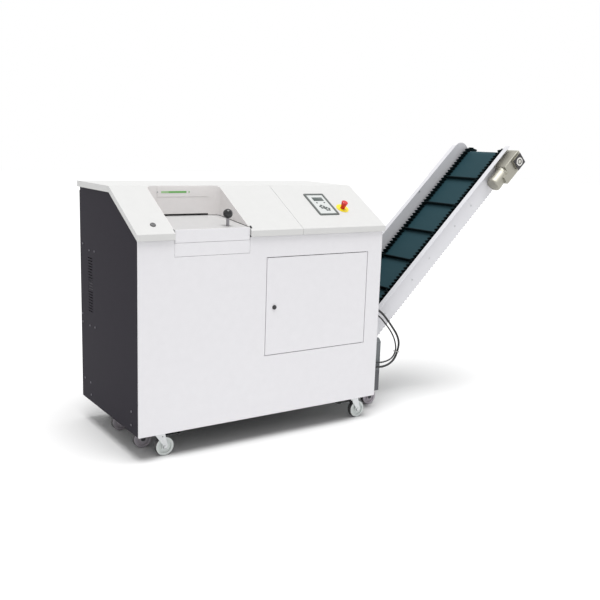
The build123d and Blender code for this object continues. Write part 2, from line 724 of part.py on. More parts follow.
# Quarter-turn lock of the hood, its cam turned aside
cam_drop = -HOOD_LOCK_REACH
with BuildPart() as hood_lock:
    lock_centre = (HOOD_LOCK_PLACE, HOOD_LOCK_FROM_EDGE)
    disc(slope_plane, lock_centre, HOOD_LOCK_RADIUS, HOOD_LOCK_DOME)
    crown = hood_lock.faces().sort_by(Axis(slope_plane.origin, slope_plane.z_dir))[-1]
    fillet(crown.edges(), HOOD_LOCK_CROWN)
    disc(slope_plane, lock_centre, HOOD_LOCK_SHANK, cam_drop - SHEET)
    with BuildSketch(slope_plane.offset(cam_drop)) as cam:
        with Locations((HOOD_LOCK_PLACE + HOOD_LOCK_RADIUS, HOOD_LOCK_FROM_EDGE)):
            SlotOverall(HOOD_LOCK_CAM, LATCH_CAM_WIDTH)
    extrude(cam.sketch, amount=LATCH_CAM_SHEET)
    # Key slot
    with BuildSketch(slope_plane.offset(HOOD_LOCK_DOME)) as slot:
        with Locations(lock_centre):
            SlotOverall(HOOD_LOCK_SLOT, SHEET)
    extrude(slot.sketch, amount=-SHEET, mode=Mode.SUBTRACT)
finish(hood_lock.part, "hood_lock")

# Lining of the feed recess: bent side and back walls, with a screwed plate over the slot
liner_front = HOOD_FRONT + RECESS_FRONT_INSET
liner_back = FRONT + HOOD_BEND
tray_low = BASE + TRAY_FRONT_TOP - OVERRUN
liner_rise = HOOD_TOP - TRAY_FRONT_TOP + 2 * OVERRUN


def recess_plan(grow):
    """Plan of the recess with rounded back corners, grown by a wall and open to the front."""
    with BuildSketch(level(tray_low)) as plan:
        front = liner_front - OVERRUN * (grow == 0)
        with Locations((LINER_LEFT + RECESS_WIDTH / 2, (front + liner_back + grow) / 2)):
            Rectangle(RECESS_WIDTH + 2 * grow, liner_back + grow - front)
        fillet(plan.vertices().group_by(Axis.Y)[-1], RECESS_CORNER + grow)
    return plan.sketch


with BuildPart() as recess_liner:
    extrude(recess_plan(SHEET), amount=liner_rise)
    extrude(recess_plan(0), amount=liner_rise, mode=Mode.SUBTRACT)
    # Top edge flush with the hood, bottom edge above the tray
    over = hood_outline(-OVERRUN, 0, 0)[1:4]
    ceiling = BASE + HOOD_TOP + 3 * OVERRUN
    above = [*over, (HOOD_BACK + OVERRUN, ceiling), (HOOD_FRONT - OVERRUN, ceiling)]
    prism(across(HOOD_LEFT), above, CABINET_WIDTH, Mode.SUBTRACT)
    block(
        (-RECESS_WIDTH, 2 * RECESS_WIDTH),
        (-RECESS_WIDTH, TRAY_LENGTH),
        (-2 * OVERRUN - POCKET_DEPTH, TRAY_TO_LINER),
        Mode.SUBTRACT,
        tray_plane,
    )
    # Slot under the back wall, and the window of the lamp
    block(
        (LINER_LEFT + BACK_PANEL_INSET, LINER_RIGHT - BACK_PANEL_INSET),
        (liner_back - OVERRUN, liner_back + SHEET + OVERRUN),
        (BASE, BASE + TRAY_FRONT_TOP + HOOD_BEND * tan(TRAY_RISE) + FEED_SLOT),
        Mode.SUBTRACT,
    )
    led_x = (LEFT + LED_LEFT, LEFT + LED_LEFT + LED_WIDTH)
    led_z = (BASE + LED_CENTRE - LED_HEIGHT / 2, BASE + LED_CENTRE + LED_HEIGHT / 2)
    block(led_x, (liner_back - OVERRUN, liner_back + SHEET + OVERRUN), led_z, Mode.SUBTRACT)
    # Plates screwed to the back wall
    plate_x = (LINER_LEFT + BACK_PANEL_INSET, LINER_RIGHT - BACK_PANEL_INSET)
    plate_bottom = BASE + TRAY_FRONT_TOP + HOOD_BEND * tan(TRAY_RISE) + FEED_SLOT
    plate_z = (plate_bottom, BASE + BACK_PANEL_TOP)

with BuildPart() as recess_back_plate:
    block(plate_x, (liner_back - BACK_PANEL_SHEET, liner_back), plate_z)
    fillet(recess_back_plate.edges().filter_by(Axis.Y), SHEET)
with BuildPart() as recess_upper_plate:
    upper_front = liner_back - UPPER_PLATE_SHEET
    upper_z = (plate_z[1] + UPPER_PLATE_GAP, hood_height(upper_front, SEAM))
    block(plate_x, (upper_front, liner_back), upper_z)
    block(led_x, (upper_front - OVERRUN, liner_back + OVERRUN), led_z, Mode.SUBTRACT)
finish(
    Compound([recess_liner.part, recess_back_plate.part, recess_upper_plate.part]),
    "recess_liner",
)

with BuildPart() as led_bar:
    led_fit = ((led_x[0] + SEAT, led_x[1] - SEAT), (led_z[0] + SEAT, led_z[1] - SEAT))
    block(led_fit[0], (upper_front - LED_PROUD, liner_back + SHEET), led_fit[1])
    fillet(led_bar.edges().filter_by(Axis.Z).group_by(Axis.Y)[0], LED_PROUD / 2)
    edge = 2 * SHEET
    wide = (led_x[0] - edge, led_x[1] + edge)
    tall = (led_z[0] - edge, led_z[1] + edge)
    block(wide, (liner_back + SHEET, liner_back + 2 * SHEET + LED_HEIGHT), tall)
finish(led_bar.part, "led_bar")

# Feed drawer: tray, upright apron and a bottomless pocket
tray_x = (TRAY_SIDE_GAP, RECESS_WIDTH - TRAY_SIDE_GAP)
pocket_x = (POCKET_LEFT, POCKET_LEFT + POCKET_WIDTH)
pocket_y = (POCKET_START, POCKET_START + POCKET_LENGTH)
wall = TRAY_SHEET
with BuildPart() as feed_drawer:
    block(tray_x, (0, TRAY_LENGTH), (-TRAY_SHEET, 0), plane=tray_plane)
    block(
        (pocket_x[0] - wall, pocket_x[1] + wall),
        (pocket_y[0] - wall, pocket_y[1] + wall),
        (-POCKET_DEPTH, -TRAY_SHEET),
        plane=tray_plane,
    )
    apron_x = (LINER_LEFT + tray_x[0], LINER_LEFT + tray_x[1])
    apron_top = BASE + TRAY_FRONT_TOP
    block(apron_x, (FRONT, FRONT + SHEET), (BASE + APRON_BOTTOM, apron_top))
    block(pocket_x, pocket_y, (-POCKET_DEPTH - OVERRUN, OVERRUN), Mode.SUBTRACT, tray_plane)
    # Tapped hole for the knob's stem
    disc(
        tray_plane.offset(OVERRUN),
        (KNOB_FROM_TRAY_LEFT, KNOB_INSET),
        STEM_SPIGOT,
        -2 * OVERRUN - TRAY_SHEET,
        Mode.SUBTRACT,
    )
finish(feed_drawer.part, "feed_drawer")

knob_plane = Plane(tray_plane.from_local_coords(Vector(KNOB_FROM_TRAY_LEFT, KNOB_INSET, 0)))
with BuildPart() as knob_stem:
    disc(knob_plane, (0, 0), KNOB_STEM_RADIUS, KNOB_HEIGHT - KNOB_BALL_RADIUS / 2)
    block(
        (-RECESS_WIDTH, 2 * RECESS_WIDTH), (-RECESS_WIDTH, RECESS_WIDTH), (-RECESS_WIDTH, 0),
        Mode.SUBTRACT, tray_plane,
    )
    spigot_centre = (KNOB_FROM_TRAY_LEFT, KNOB_INSET)
    disc(tray_plane.offset(SEAM), spigot_centre, STEM_SPIGOT - SEAT / 2, -SEAM - TRAY_SHEET)
finish(knob_stem.part, "knob_stem")

with BuildPart() as ball_knob:
    ball_centre = knob_plane.origin + Vector(0, 0, KNOB_HEIGHT)
    with BuildSketch(Plane(ball_centre, x_dir=(1, 0, 0), z_dir=(0, -1, 0))):
        with BuildLine():
            ball = CenterArc((0, 0), KNOB_BALL_RADIUS, -90, 180)
            Line(ball @ 1, ball @ 0)
        make_face()
    revolve(axis=Axis(knob_plane.origin, (0, 0, 1)))
    stem_depth = KNOB_BALL_RADIUS / 2
    disc(knob_plane, (0, 0), KNOB_STEM_RADIUS + SEAT / 2, KNOB_HEIGHT - stem_depth, Mode.SUBTRACT)
finish(ball_knob.part, "ball_knob")

# Table under the drawer, with its throat, cheeks down to the beams and the runners
table_top = -POCKET_DEPTH - SEAT
cheek_front = CUTTER_CENTRE - BEAM_SPACING / 2 - LEG / 2
cheek_back = CUTTER_CENTRE + BEAM_SPACING / 2 + LEG / 2


def tray_height(y, drop):
    """Height of a line under the tray's top at depth y in the cabinet."""
    return BASE + TRAY_FRONT_TOP + y * tan(TRAY_RISE) - drop / cos(TRAY_RISE)


with BuildPart() as drawer_table:
    table_x = (-wall - SEAM, RECESS_WIDTH + wall + SEAM)
    front_gap = 2 * SHEET
    block(table_x, (front_gap, TRAY_LENGTH), (table_top - SHEET, table_top), plane=tray_plane)
    ledge_drop = TRAY_SHEET + SEAT
    runner_x = (-SEAM, RUNNER_WIDTH - SEAM)
    for cheek_x, runner in (
        ((table_x[0], table_x[0] + wall), runner_x),
        ((table_x[1] - wall, table_x[1]), (RECESS_WIDTH - runner_x[1], RECESS_WIDTH - runner_x[0])),
    ):
        cheek = [
            (FRONT + cheek_front, DECK),
            (FRONT + cheek_back, DECK),
            (FRONT + cheek_back, tray_height(cheek_back, ledge_drop)),
            (FRONT + CHEEK_START, tray_height(CHEEK_START, ledge_drop)),
            (FRONT + CHEEK_START, tray_height(CHEEK_START, -table_top + SHEET)),
            (FRONT + cheek_front, tray_height(cheek_front, -table_top + SHEET)),
        ]
        prism(across(LINER_LEFT + cheek_x[0]), cheek, cheek_x[1] - cheek_x[0])
        rail_z = (-ledge_drop - RUNNER_HEIGHT, -ledge_drop)
        block(runner, (front_gap, TRAY_LENGTH), rail_z, plane=tray_plane)
        arch_y = (FRONT + cheek_front + LEG, FRONT + cheek_back - LEG)
        arch_top = BASE + CHEEK_ARCH_TOP
        arch_x = (LINER_LEFT + cheek_x[0] - OVERRUN, LINER_LEFT + cheek_x[1] + OVERRUN)
        block(arch_x, arch_y, (DECK - OVERRUN, arch_top), Mode.SUBTRACT)
    throat_y = (pocket_y[0], pocket_y[1])
    block(pocket_x, throat_y, (table_top - 2 * OVERRUN, table_top + OVERRUN), Mode.SUBTRACT, tray_plane)
finish(drawer_table.part, "drawer_table")

# Hopper from the throat down to the cutters
CUTTER_PITCH = DISC_THICKNESS + DISC_CLEARANCE
CUTTER_LENGTH = 2 * DISC_COUNT * CUTTER_PITCH
cutter_x = (LEFT + CUTTER_LEFT, LEFT + CUTTER_LEFT + CUTTER_LENGTH)
cutter_y = FRONT + CUTTER_CENTRE
cutter_z = BASE + CUTTER_HEIGHT
hopper_top = tray_plane.offset(table_top - SHEET)
hopper_x = (cutter_x[0] + THROAT_WALL + SEAM, cutter_x[1] - THROAT_WALL - SEAM)


def funnel(wall_out, overrun, mode):
    """Adds the loft between the throat and the cutters, grown outwards by a wall."""
    with BuildSketch(hopper_top.offset(overrun)) as mouth:
        centre = (sum(pocket_x) / 2, sum(pocket_y) / 2)
        with Locations(centre):
            Rectangle(POCKET_WIDTH + 2 * wall_out, POCKET_LENGTH + 2 * wall_out)
    with BuildSketch(level(BASE + HOPPER_BOTTOM - overrun)) as outlet:
        with Locations((sum(hopper_x) / 2, cutter_y)):
            Rectangle(hopper_x[1] - hopper_x[0] + 2 * wall_out, HOPPER_MOUTH_DEPTH + 2 * wall_out)
    loft([mouth.sketch.face(), outlet.sketch.face()], mode=mode)


with BuildPart() as feed_hopper:
    funnel(THROAT_WALL, 0, Mode.ADD)
    funnel(0, SEAT, Mode.SUBTRACT)
finish(feed_hopper.part, "feed_hopper")

# Cutting unit: end plates with bearing bosses, tied by the comb bars
front_axis = (cutter_y - SHAFT_SPACING / 2, cutter_z)
rear_axis = (cutter_y + SHAFT_SPACING / 2, cutter_z)
foot_half = BEAM_SPACING / 2 + LEG / 2
body_half = SHAFT_SPACING / 2 + DISC_RADIUS + COMB_BAR + SEAM
waist_half = BEAM_SPACING / 2 - LEG / 2 - SEAM
end_plate_points = [
    (cutter_y - foot_half, DECK),
    (cutter_y - waist_half, DECK),
    (cutter_y - waist_half, cutter_z - END_PLATE_DROP),
    (cutter_y + waist_half, cutter_z - END_PLATE_DROP),
    (cutter_y + waist_half, DECK),
    (cutter_y + foot_half, DECK),
    (cutter_y + foot_half, DECK + END_PLATE_FOOT),
    (cutter_y + body_half, DECK + END_PLATE_FOOT),
    (cutter_y + body_half, cutter_z + END_PLATE_RISE),
    (cutter_y - body_half, cutter_z + END_PLATE_RISE),
    (cutter_y - body_half, DECK + END_PLATE_FOOT),
    (cutter_y - foot_half, DECK + END_PLATE_FOOT),
]
plates_x = (cutter_x[0] - END_PLATE, cutter_x[1])
bar_y = (
    (cutter_y - body_half, cutter_y - body_half + COMB_BAR),
    (cutter_y + body_half - COMB_BAR, cutter_y + body_half),
)
with BuildPart() as cutter_frame:
    for plate_left in plates_x:
        prism(across(plate_left), end_plate_points, END_PLATE)
    for axis_centre in (front_axis, rear_axis):
        disc(across(plates_x[0] - BOSS), axis_centre, BEARING_RADIUS, BOSS)
        disc(across(plates_x[1] + END_PLATE), axis_centre, BEARING_RADIUS, BOSS)
    for axis_centre in (front_axis, rear_axis):
        bore = JOURNAL_RADIUS + RUNNING_GAP
        length = CUTTER_LENGTH + 2 * (END_PLATE + BOSS + OVERRUN)
        bore_start = plates_x[0] - BOSS - OVERRUN
        disc(across(bore_start), axis_centre, bore, length, Mode.SUBTRACT)
    # Tie bars above the combs
    for tie_y in bar_y:
        tie_z = (cutter_z + END_PLATE_RISE - END_PLATE, cutter_z + END_PLATE_RISE)
        block((cutter_x[0], cutter_x[1]), tie_y, tie_z)
finish(cutter_frame.part, "cutter_frame")


def polar(radius, angle):
    """Point at a radius and an angle in degrees."""
    return (radius * cos(radians(angle)), radius * sin(radians(angle)))


def cutter_shaft(centre, first, turn_sign, drive_end):
    """Shaft with its spacers and hooked discs, running to drive_end."""
    step = 360 / DISC_TIPS
    with BuildPart() as shaft:
        length = drive_end - (plates_x[0] - BOSS - SEAM)
        disc(across(plates_x[0] - BOSS - SEAM), centre, JOURNAL_RADIUS, length)
        spacer_start = cutter_x[0] + RUNNING_GAP
        spacer_length = CUTTER_LENGTH - 2 * RUNNING_GAP
        disc(across(spacer_start), centre, SPACER_RADIUS, spacer_length)
        for number in range(DISC_COUNT):
            disc_x = cutter_x[0] + (2 * number + first) * CUTTER_PITCH + DISC_CLEARANCE / 2
            turn = turn_sign * number * step / DISC_COUNT
            with BuildSketch(hub(disc_x, centre)) as blade:
                with BuildLine():
                    for tip in range(DISC_TIPS):
                        start = turn + turn_sign * tip * step
                        middle = start + turn_sign * step * HOOK_MIDDLE_SHARE
                        end = start + turn_sign * step * HOOK_TIP_SHARE
                        rise = (DISC_ROOT_RADIUS + DISC_RADIUS) / 2
                        point = polar(DISC_RADIUS, end)
                        ThreePointArc(polar(DISC_ROOT_RADIUS, start), polar(rise, middle), point)
                        Line(point, polar(DISC_ROOT_RADIUS, start + turn_sign * step))
                make_face()
            extrude(blade.sketch, amount=DISC_THICKNESS)
    return shaft.part


gear_x = plates_x[1] + END_PLATE + BOSS + GEAR_OFFSET
coupling_x = gear_x + GEAR_WIDTH + GEAR_OFFSET
finish(cutter_shaft(front_axis, 0, 1, coupling_x + COUPLING_LENGTH / 2 - SEAM), "cutter_shaft_front")
finish(cutter_shaft(rear_axis, 1, -1, gear_x + GEAR_WIDTH + SEAM), "cutter_shaft_rear")


def sync_gear(centre, phase):
    """Spur gear that turns one cutter shaft with the other."""
    step = 360 / GEAR_TEETH
    pitch_radius = SHAFT_SPACING / 2
    root = pitch_radius - GEAR_DEDENDUM
    tip = pitch_radius + GEAR_ADDENDUM
    points = []
    for tooth in range(GEAR_TEETH):
        middle = phase + tooth * step
        points.append(polar(root, middle - step * TOOTH_ROOT_SHARE))
        points.append(polar(tip, middle - step * TOOTH_TIP_SHARE))
        points.append(polar(tip, middle + step * TOOTH_TIP_SHARE))
        points.append(polar(root, middle + step * TOOTH_ROOT_SHARE))
    with BuildPart() as gear:
        with BuildSketch(hub(gear_x, centre)) as teeth:
            with BuildLine():
                Polyline(*points, close=True)
            make_face()
            Circle(JOURNAL_RADIUS + FIT, mode=Mode.SUBTRACT)
        extrude(teeth.sketch, amount=GEAR_WIDTH)
    return gear.part


finish(sync_gear(front_axis, 0), "sync_gear_front")
finish(sync_gear(rear_axis, 180 / GEAR_TEETH), "sync_gear_rear")


def comb(bar, axis_centre, first, side):
    """Comb whose fingers strip one shaft's gaps, on its bar."""
    with BuildPart() as stripper:
        bar_x = (cutter_x[0], cutter_x[1])
        block(bar_x, bar, (cutter_z - COMB_HALF_HEIGHT, cutter_z + COMB_HALF_HEIGHT))
        for number in range(DISC_COUNT):
            low = cutter_x[0] + (2 * number + first) * CUTTER_PITCH + COMB_GAP
            high = low + CUTTER_PITCH - 2 * COMB_GAP
            finger = sorted((bar[0] if side > 0 else bar[1], axis_centre[0]))
            block((low, high), finger, (cutter_z - COMB_FINGER, cutter_z + COMB_FINGER))
        clear = SPACER_RADIUS + COMB_RADIUS_GAP
        disc(across(cutter_x[0] - OVERRUN), axis_centre, clear, CUTTER_LENGTH + 2 * OVERRUN, Mode.SUBTRACT)
    return stripper.part


front_comb = comb(bar_y[0], front_axis, 1, -1)
rear_comb = comb(bar_y[1], rear_axis, 0, 1)
finish(Compound([front_comb, rear_comb]), "stripper_combs")

# Coupling with its jaws, between the front cutter shaft and the gearbox
gearbox_x = coupling_x + COUPLING_LENGTH + GEAR_OFFSET
with BuildPart() as drive_coupling:
    disc(across(coupling_x), front_axis, COUPLING_RADIUS, COUPLING_LENGTH)
    waist_x = coupling_x + (COUPLING_LENGTH - COUPLING_WAIST) / 2
    with BuildSketch(across(waist_x)) as groove:
        with Locations(front_axis):
            Circle(COUPLING_RADIUS + OVERRUN)
            Circle(COUPLING_RADIUS * JAW_DEPTH_SHARE, mode=Mode.SUBTRACT)
            with PolarLocations(COUPLING_RADIUS, JAW_COUNT):
                Rectangle(COUPLING_RADIUS, COUPLING_WAIST, mode=Mode.SUBTRACT)
    extrude(groove.sketch, amount=COUPLING_WAIST, mode=Mode.SUBTRACT)
    half = COUPLING_LENGTH / 2
    disc(across(coupling_x - OVERRUN), front_axis, JOURNAL_RADIUS + FIT, half + OVERRUN, Mode.SUBTRACT)
    disc(across(coupling_x + half + SEAM), front_axis, OUTPUT_RADIUS + RUNNING_GAP, half, Mode.SUBTRACT)
finish(drive_coupling.part, "drive_coupling")

# Gearbox with two footed flanges on the beams
foot_points = [
    (cutter_y - foot_half, DECK),
    (cutter_y - waist_half, DECK),
    (cutter_y - waist_half, cutter_z - GEARBOX_RADIUS),
    (cutter_y + waist_half, cutter_z - GEARBOX_RADIUS),
    (cutter_y + waist_half, DECK),
    (cutter_y + foot_half, DECK),
    (cutter_y + foot_half, DECK + END_PLATE_FOOT),
    (front_axis[0] + GEARBOX_RADIUS + COMB_BAR, cutter_z),
    (front_axis[0] + GEARBOX_RADIUS / 2, cutter_z + GEARBOX_RADIUS + COMB_BAR),
    (front_axis[0] - GEARBOX_RADIUS / 2, cutter_z + GEARBOX_RADIUS + COMB_BAR),
    (front_axis[0] - GEARBOX_RADIUS - COMB_BAR, cutter_z),
    (cutter_y - foot_half, DECK + END_PLATE_FOOT),
]
with BuildPart() as drive_gearbox:
    disc(across(gearbox_x), front_axis, GEARBOX_RADIUS, GEARBOX_LENGTH)
    for rib in range(GEARBOX_RIBS):
        rib_x = gearbox_x + GEARBOX_LENGTH * (rib + 1) / (GEARBOX_RIBS + 1)
        disc(across(rib_x), front_axis, GEARBOX_RADIUS + SHEET, COMB_BAR)
    for flange_x in (gearbox_x, gearbox_x + GEARBOX_LENGTH - GEARBOX_FLANGE):
        prism(across(flange_x), foot_points, GEARBOX_FLANGE)
    disc(across(gearbox_x), front_axis, OUTPUT_RADIUS, -OUTPUT_LENGTH)
finish(drive_gearbox.part, "drive_gearbox")

# Finned motor with its fan cowl and terminal box
motor_x = gearbox_x + GEARBOX_LENGTH
with BuildPart() as drive_motor:
    disc(across(motor_x), front_axis, MOTOR_RADIUS, MOTOR_LENGTH)
    with BuildSketch(across(motor_x + GEARBOX_FLANGE)) as fins:
        with Locations(front_axis):
            with PolarLocations(MOTOR_RADIUS + MOTOR_FIN / 2 - SEAM / 2, MOTOR_FIN_COUNT):
                Rectangle(MOTOR_FIN + SEAM, MOTOR_FIN_WIDTH)
    extrude(fins.sketch, amount=MOTOR_LENGTH - MOTOR_COWL - GEARBOX_FLANGE)
    cowl_x = motor_x + MOTOR_LENGTH - MOTOR_COWL
    disc(across(cowl_x), front_axis, MOTOR_RADIUS + MOTOR_FIN + SEAM, MOTOR_COWL)
    fillet(drive_motor.faces().sort_by(Axis.X)[-1].edges(), MOTOR_FIN)
    disc(across(motor_x), front_axis, MOTOR_RADIUS + MOTOR_FIN, GEARBOX_FLANGE)
    box_x = motor_x + GEARBOX_FLANGE + MOTOR_FIN
    box_half = MOTOR_RADIUS * MOTOR_BOX_SHARE
    block(
        (box_x, box_x + 2 * box_half),
        (front_axis[0] - box_half, front_axis[0] + box_half),
        (cutter_z, cutter_z + MOTOR_RADIUS + MOTOR_FIN + MOTOR_BOX_RISE),
    )
finish(drive_motor.part, "drive_motor")

# Chute from the cutters down onto the belt
chute_x = (cutter_x[0] - COMB_BAR, cutter_x[1] + COMB_BAR)
belt_centre = FRONT + BELT_FRONT + BELT_WIDTH / 2


def chute(wall_out, overrun, mode):
    """Adds the loft between the cutters and the belt, grown outwards by a wall."""
    ends = (
        (CHUTE_TOP + overrun, cutter_y, CHUTE_TOP_DEPTH),
        (CHUTE_BOTTOM - overrun, belt_centre, CHUTE_BOTTOM_DEPTH),
    )
    faces = []
    for height, centre_y, depth in ends:
        with BuildSketch(level(BASE + height)) as mouth:
            with Locations((sum(chute_x) / 2, centre_y)):
                Rectangle(chute_x[1] - chute_x[0] + 2 * wall_out, depth + 2 * wall_out)
        faces.append(mouth.sketch.face())
    loft(faces, mode=mode)


with BuildPart() as discharge_chute:
    chute(THROAT_WALL, 0, Mode.ADD)
    lip_y = (cutter_y - CHUTE_TOP_DEPTH / 2 - SHEET, cutter_y + CHUTE_TOP_DEPTH / 2 + SHEET)
    lip_x = (chute_x[0] - CHUTE_LIP, chute_x[1] + CHUTE_LIP)
    block(lip_x, lip_y, (BASE + CHUTE_TOP - THROAT_WALL, BASE + CHUTE_TOP))
    chute(0, SEAT, Mode.SUBTRACT)
finish(discharge_chute.part, "discharge_chute")

# Conveyor: places along the level run and up the incline
BEND_X = LEFT + BEND_PLACE
RUN_Z = BASE + RUN_HEIGHT
BEND_REACH = BEND_RADIUS * tan(SLOPE / 2)
NEAR_Y = FRONT + PLATE_NEAR
FAR_Y = FRONT + PLATE_FAR
BELT_Y = (FRONT + BELT_FRONT, FRONT + BELT_FRONT + BELT_WIDTH)
bend_centre = (BEND_X - BEND_REACH, RUN_Z + BEND_RADIUS)


def incline(along, offset_out):
    """Point up the incline from the bend, a distance square to it, as (x, z)."""
    return (
        BEND_X + along * cos(SLOPE) - offset_out * sin(SLOPE),
        RUN_Z + along * sin(SLOPE) + offset_out * cos(SLOPE),
    )


def bend(offset_out):
    """Three points of the bend's arc at a distance from the belt's middle line."""
    radius = BEND_RADIUS - offset_out
    return [
        (bend_centre[0] + radius * sin(turn), bend_centre[1] - radius * cos(turn))
        for turn in (0, SLOPE / 2, SLOPE)
    ]


def incline_plane(y):
    """Plane facing the front at depth y, with X up the incline from the bend."""
    return Plane((BEND_X, y, RUN_Z), x_dir=(cos(SLOPE), 0, sin(SLOPE)), z_dir=(0, -1, 0))


def loop_face(y, offset_out):
    """Face that the belt's path encloses at a distance outside its middle line."""
    tail = (LEFT + TAIL_PLACE, RUN_Z)
    with BuildSketch(upright(y)) as face:
        with BuildLine():
            top = ThreePointArc(*bend(offset_out))
            under = ThreePointArc(*bend(-offset_out))
            head_top = incline(INCLINE_LENGTH, offset_out)
            head_under = incline(INCLINE_LENGTH, -offset_out)
            tail_top = (tail[0], tail[1] + offset_out)
            tail_under = (tail[0], tail[1] - offset_out)
            Line(tail_top, top @ 0)
            Line(top @ 1, head_top)
            ThreePointArc(head_top, incline(INCLINE_LENGTH + offset_out, 0), head_under)
            Line(head_under, under @ 1)
            Line(under @ 0, tail_under)
            ThreePointArc(tail_under, (tail[0] - offset_out, tail[1]), tail_top)
        make_face()
    return face.sketch


def band_face(y, low, high, start, end):
    """Face between two distances from the belt's middle line, from a start on the level run."""
    with BuildSketch(upright(y)) as face:
        with BuildLine():
            upper = ThreePointArc(*bend(high))
            lower = ThreePointArc(*bend(low))
            corners = [(start, RUN_Z + low), (start, RUN_Z + high)]
            ends = [incline(end, high), incline(end, low)]
            Line(*corners)
            Line(corners[1], upper @ 0)
            Line(upper @ 1, ends[0])
            Line(*ends)
            Line(ends[1], lower @ 1)
            Line(lower @ 0, corners[0])
        make_face()
    return face.sketch


# Side plates, each with a flange along its top edge
plate_start = LEFT + PLATE_TAIL_END
plate_end = INCLINE_LENGTH + PLATE_END
shaft_hole = DRUM_SHAFT_RADIUS + SHAFT_BORE_GAP
head_axis = incline(INCLINE_LENGTH, 0)
tail_axis = (LEFT + TAIL_PLACE, RUN_Z)
roller_ring = BEND_RADIUS + DRUM_RADIUS - BEND_ROLLER_RADIUS - SEAT
roller_axis = (
    bend_centre[0] + roller_ring * sin(SLOPE / 2),
    bend_centre[1] - roller_ring * cos(SLOPE / 2),
)


def side_plate(inner_y, outward, rise):
    """Side plate whose inner face is at inner_y, turned outwards to -1 or +1 along Y."""
    thickness = -outward * PLATE_SHEET
    with BuildPart() as plate:
        drop, half = PLATE_DROP, PLATE_RISE
        extrude(band_face(inner_y, -drop, half, plate_start, plate_end), amount=thickness)
        # Feet on the trolley's cross plates
        for place in CROSS_PLATE_PLACES[:-1]:
            foot_x = (LEFT + place - PLATE_FOOT / 2, LEFT + place + PLATE_FOOT / 2)
            foot_z = (RUN_Z - PLATE_FOOT_DROP, RUN_Z)
            block(foot_x, sorted((inner_y, inner_y + outward * PLATE_SHEET)), foot_z)
        if rise > half:
            # The taller part up the incline, with a round upper corner
            foot = half * tan(SLOPE / 2) - (rise - half) / tan(SLOPE)
            with BuildSketch(incline_plane(inner_y)) as tall:
                with BuildLine():
                    Polyline(
                        (foot, rise),
                        (plate_end, rise),
                        (plate_end, 0),
                        (half, 0),
                        close=True,
                    )
                make_face()
                fillet(tall.vertices().sort_by(Axis.X)[-2:].sort_by(Axis.Y)[-1], FAR_PLATE_CORNER)
            extrude(tall.sketch, amount=thickness)
        corner = incline(plate_end, -drop)
        with BuildSketch(upright(inner_y)) as nick:
            with BuildLine():
                Polyline(
                    corner,
                    incline(plate_end - PLATE_END_CHAMFER, -drop),
                    incline(plate_end, PLATE_END_CHAMFER - drop),
                    close=True,
                )
            make_face()
        extrude(nick.sketch, amount=thickness, mode=Mode.SUBTRACT)
        flange_y = inner_y + outward * PLATE_SHEET
        flange_depth = -outward * PLATE_FLANGE
        if rise > half:
            flange_end = plate_end - FAR_PLATE_CORNER
            with BuildSketch(incline_plane(flange_y)) as flange:
                with BuildLine():
                    low = rise - PLATE_SHEET
                    Polyline(
                        (foot, rise),
                        (flange_end, rise),
                        (flange_end, low),
                        (foot + PLATE_SHEET / tan(SLOPE), low),
                        close=True,
                    )
                make_face()
            extrude(flange.sketch, amount=flange_depth)
        else:
            rim = band_face(flange_y, half - PLATE_SHEET, half, plate_start, plate_end)
            extrude(rim, amount=flange_depth)
        through = 2 * OVERRUN + PLATE_SHEET
        start = upright(inner_y - outward * OVERRUN)
        for axis_centre, hole in (
            (head_axis, shaft_hole),
            (tail_axis, shaft_hole),
            (roller_axis, ROLLER_SHAFT_RADIUS + RUNNING_GAP),
        ):
            disc(start, axis_centre, hole, -outward * through, Mode.SUBTRACT)
    return plate.part


near_inner = NEAR_Y + PLATE_SHEET
finish(side_plate(near_inner, -1, PLATE_RISE), "conveyor_side_near")
finish(side_plate(FAR_Y, 1, FAR_PLATE_RISE), "conveyor_side_far")

# Slider bed under the carrying run, with a flange down each side plate
bed_high = DRUM_RADIUS - SEAT
bed_low = bed_high - SLIDER_SHEET
bed_start = LEFT + TAIL_PLACE + SLIDER_DRUM_GAP
bed_end = INCLINE_LENGTH - SLIDER_DRUM_GAP
with BuildPart() as slider_bed:
    bed_depth = FAR_Y - near_inner
    extrude(band_face(FAR_Y, bed_low, bed_high, bed_start, bed_end), amount=bed_depth)
    for side_y in (near_inner + SLIDER_SHEET, FAR_Y):
        side_low = bed_high - SLIDER_FLANGE
        rim = band_face(side_y, side_low, bed_high, bed_start, bed_end)
        extrude(rim, amount=SLIDER_SHEET)
finish(slider_bed.part, "slider_bed")

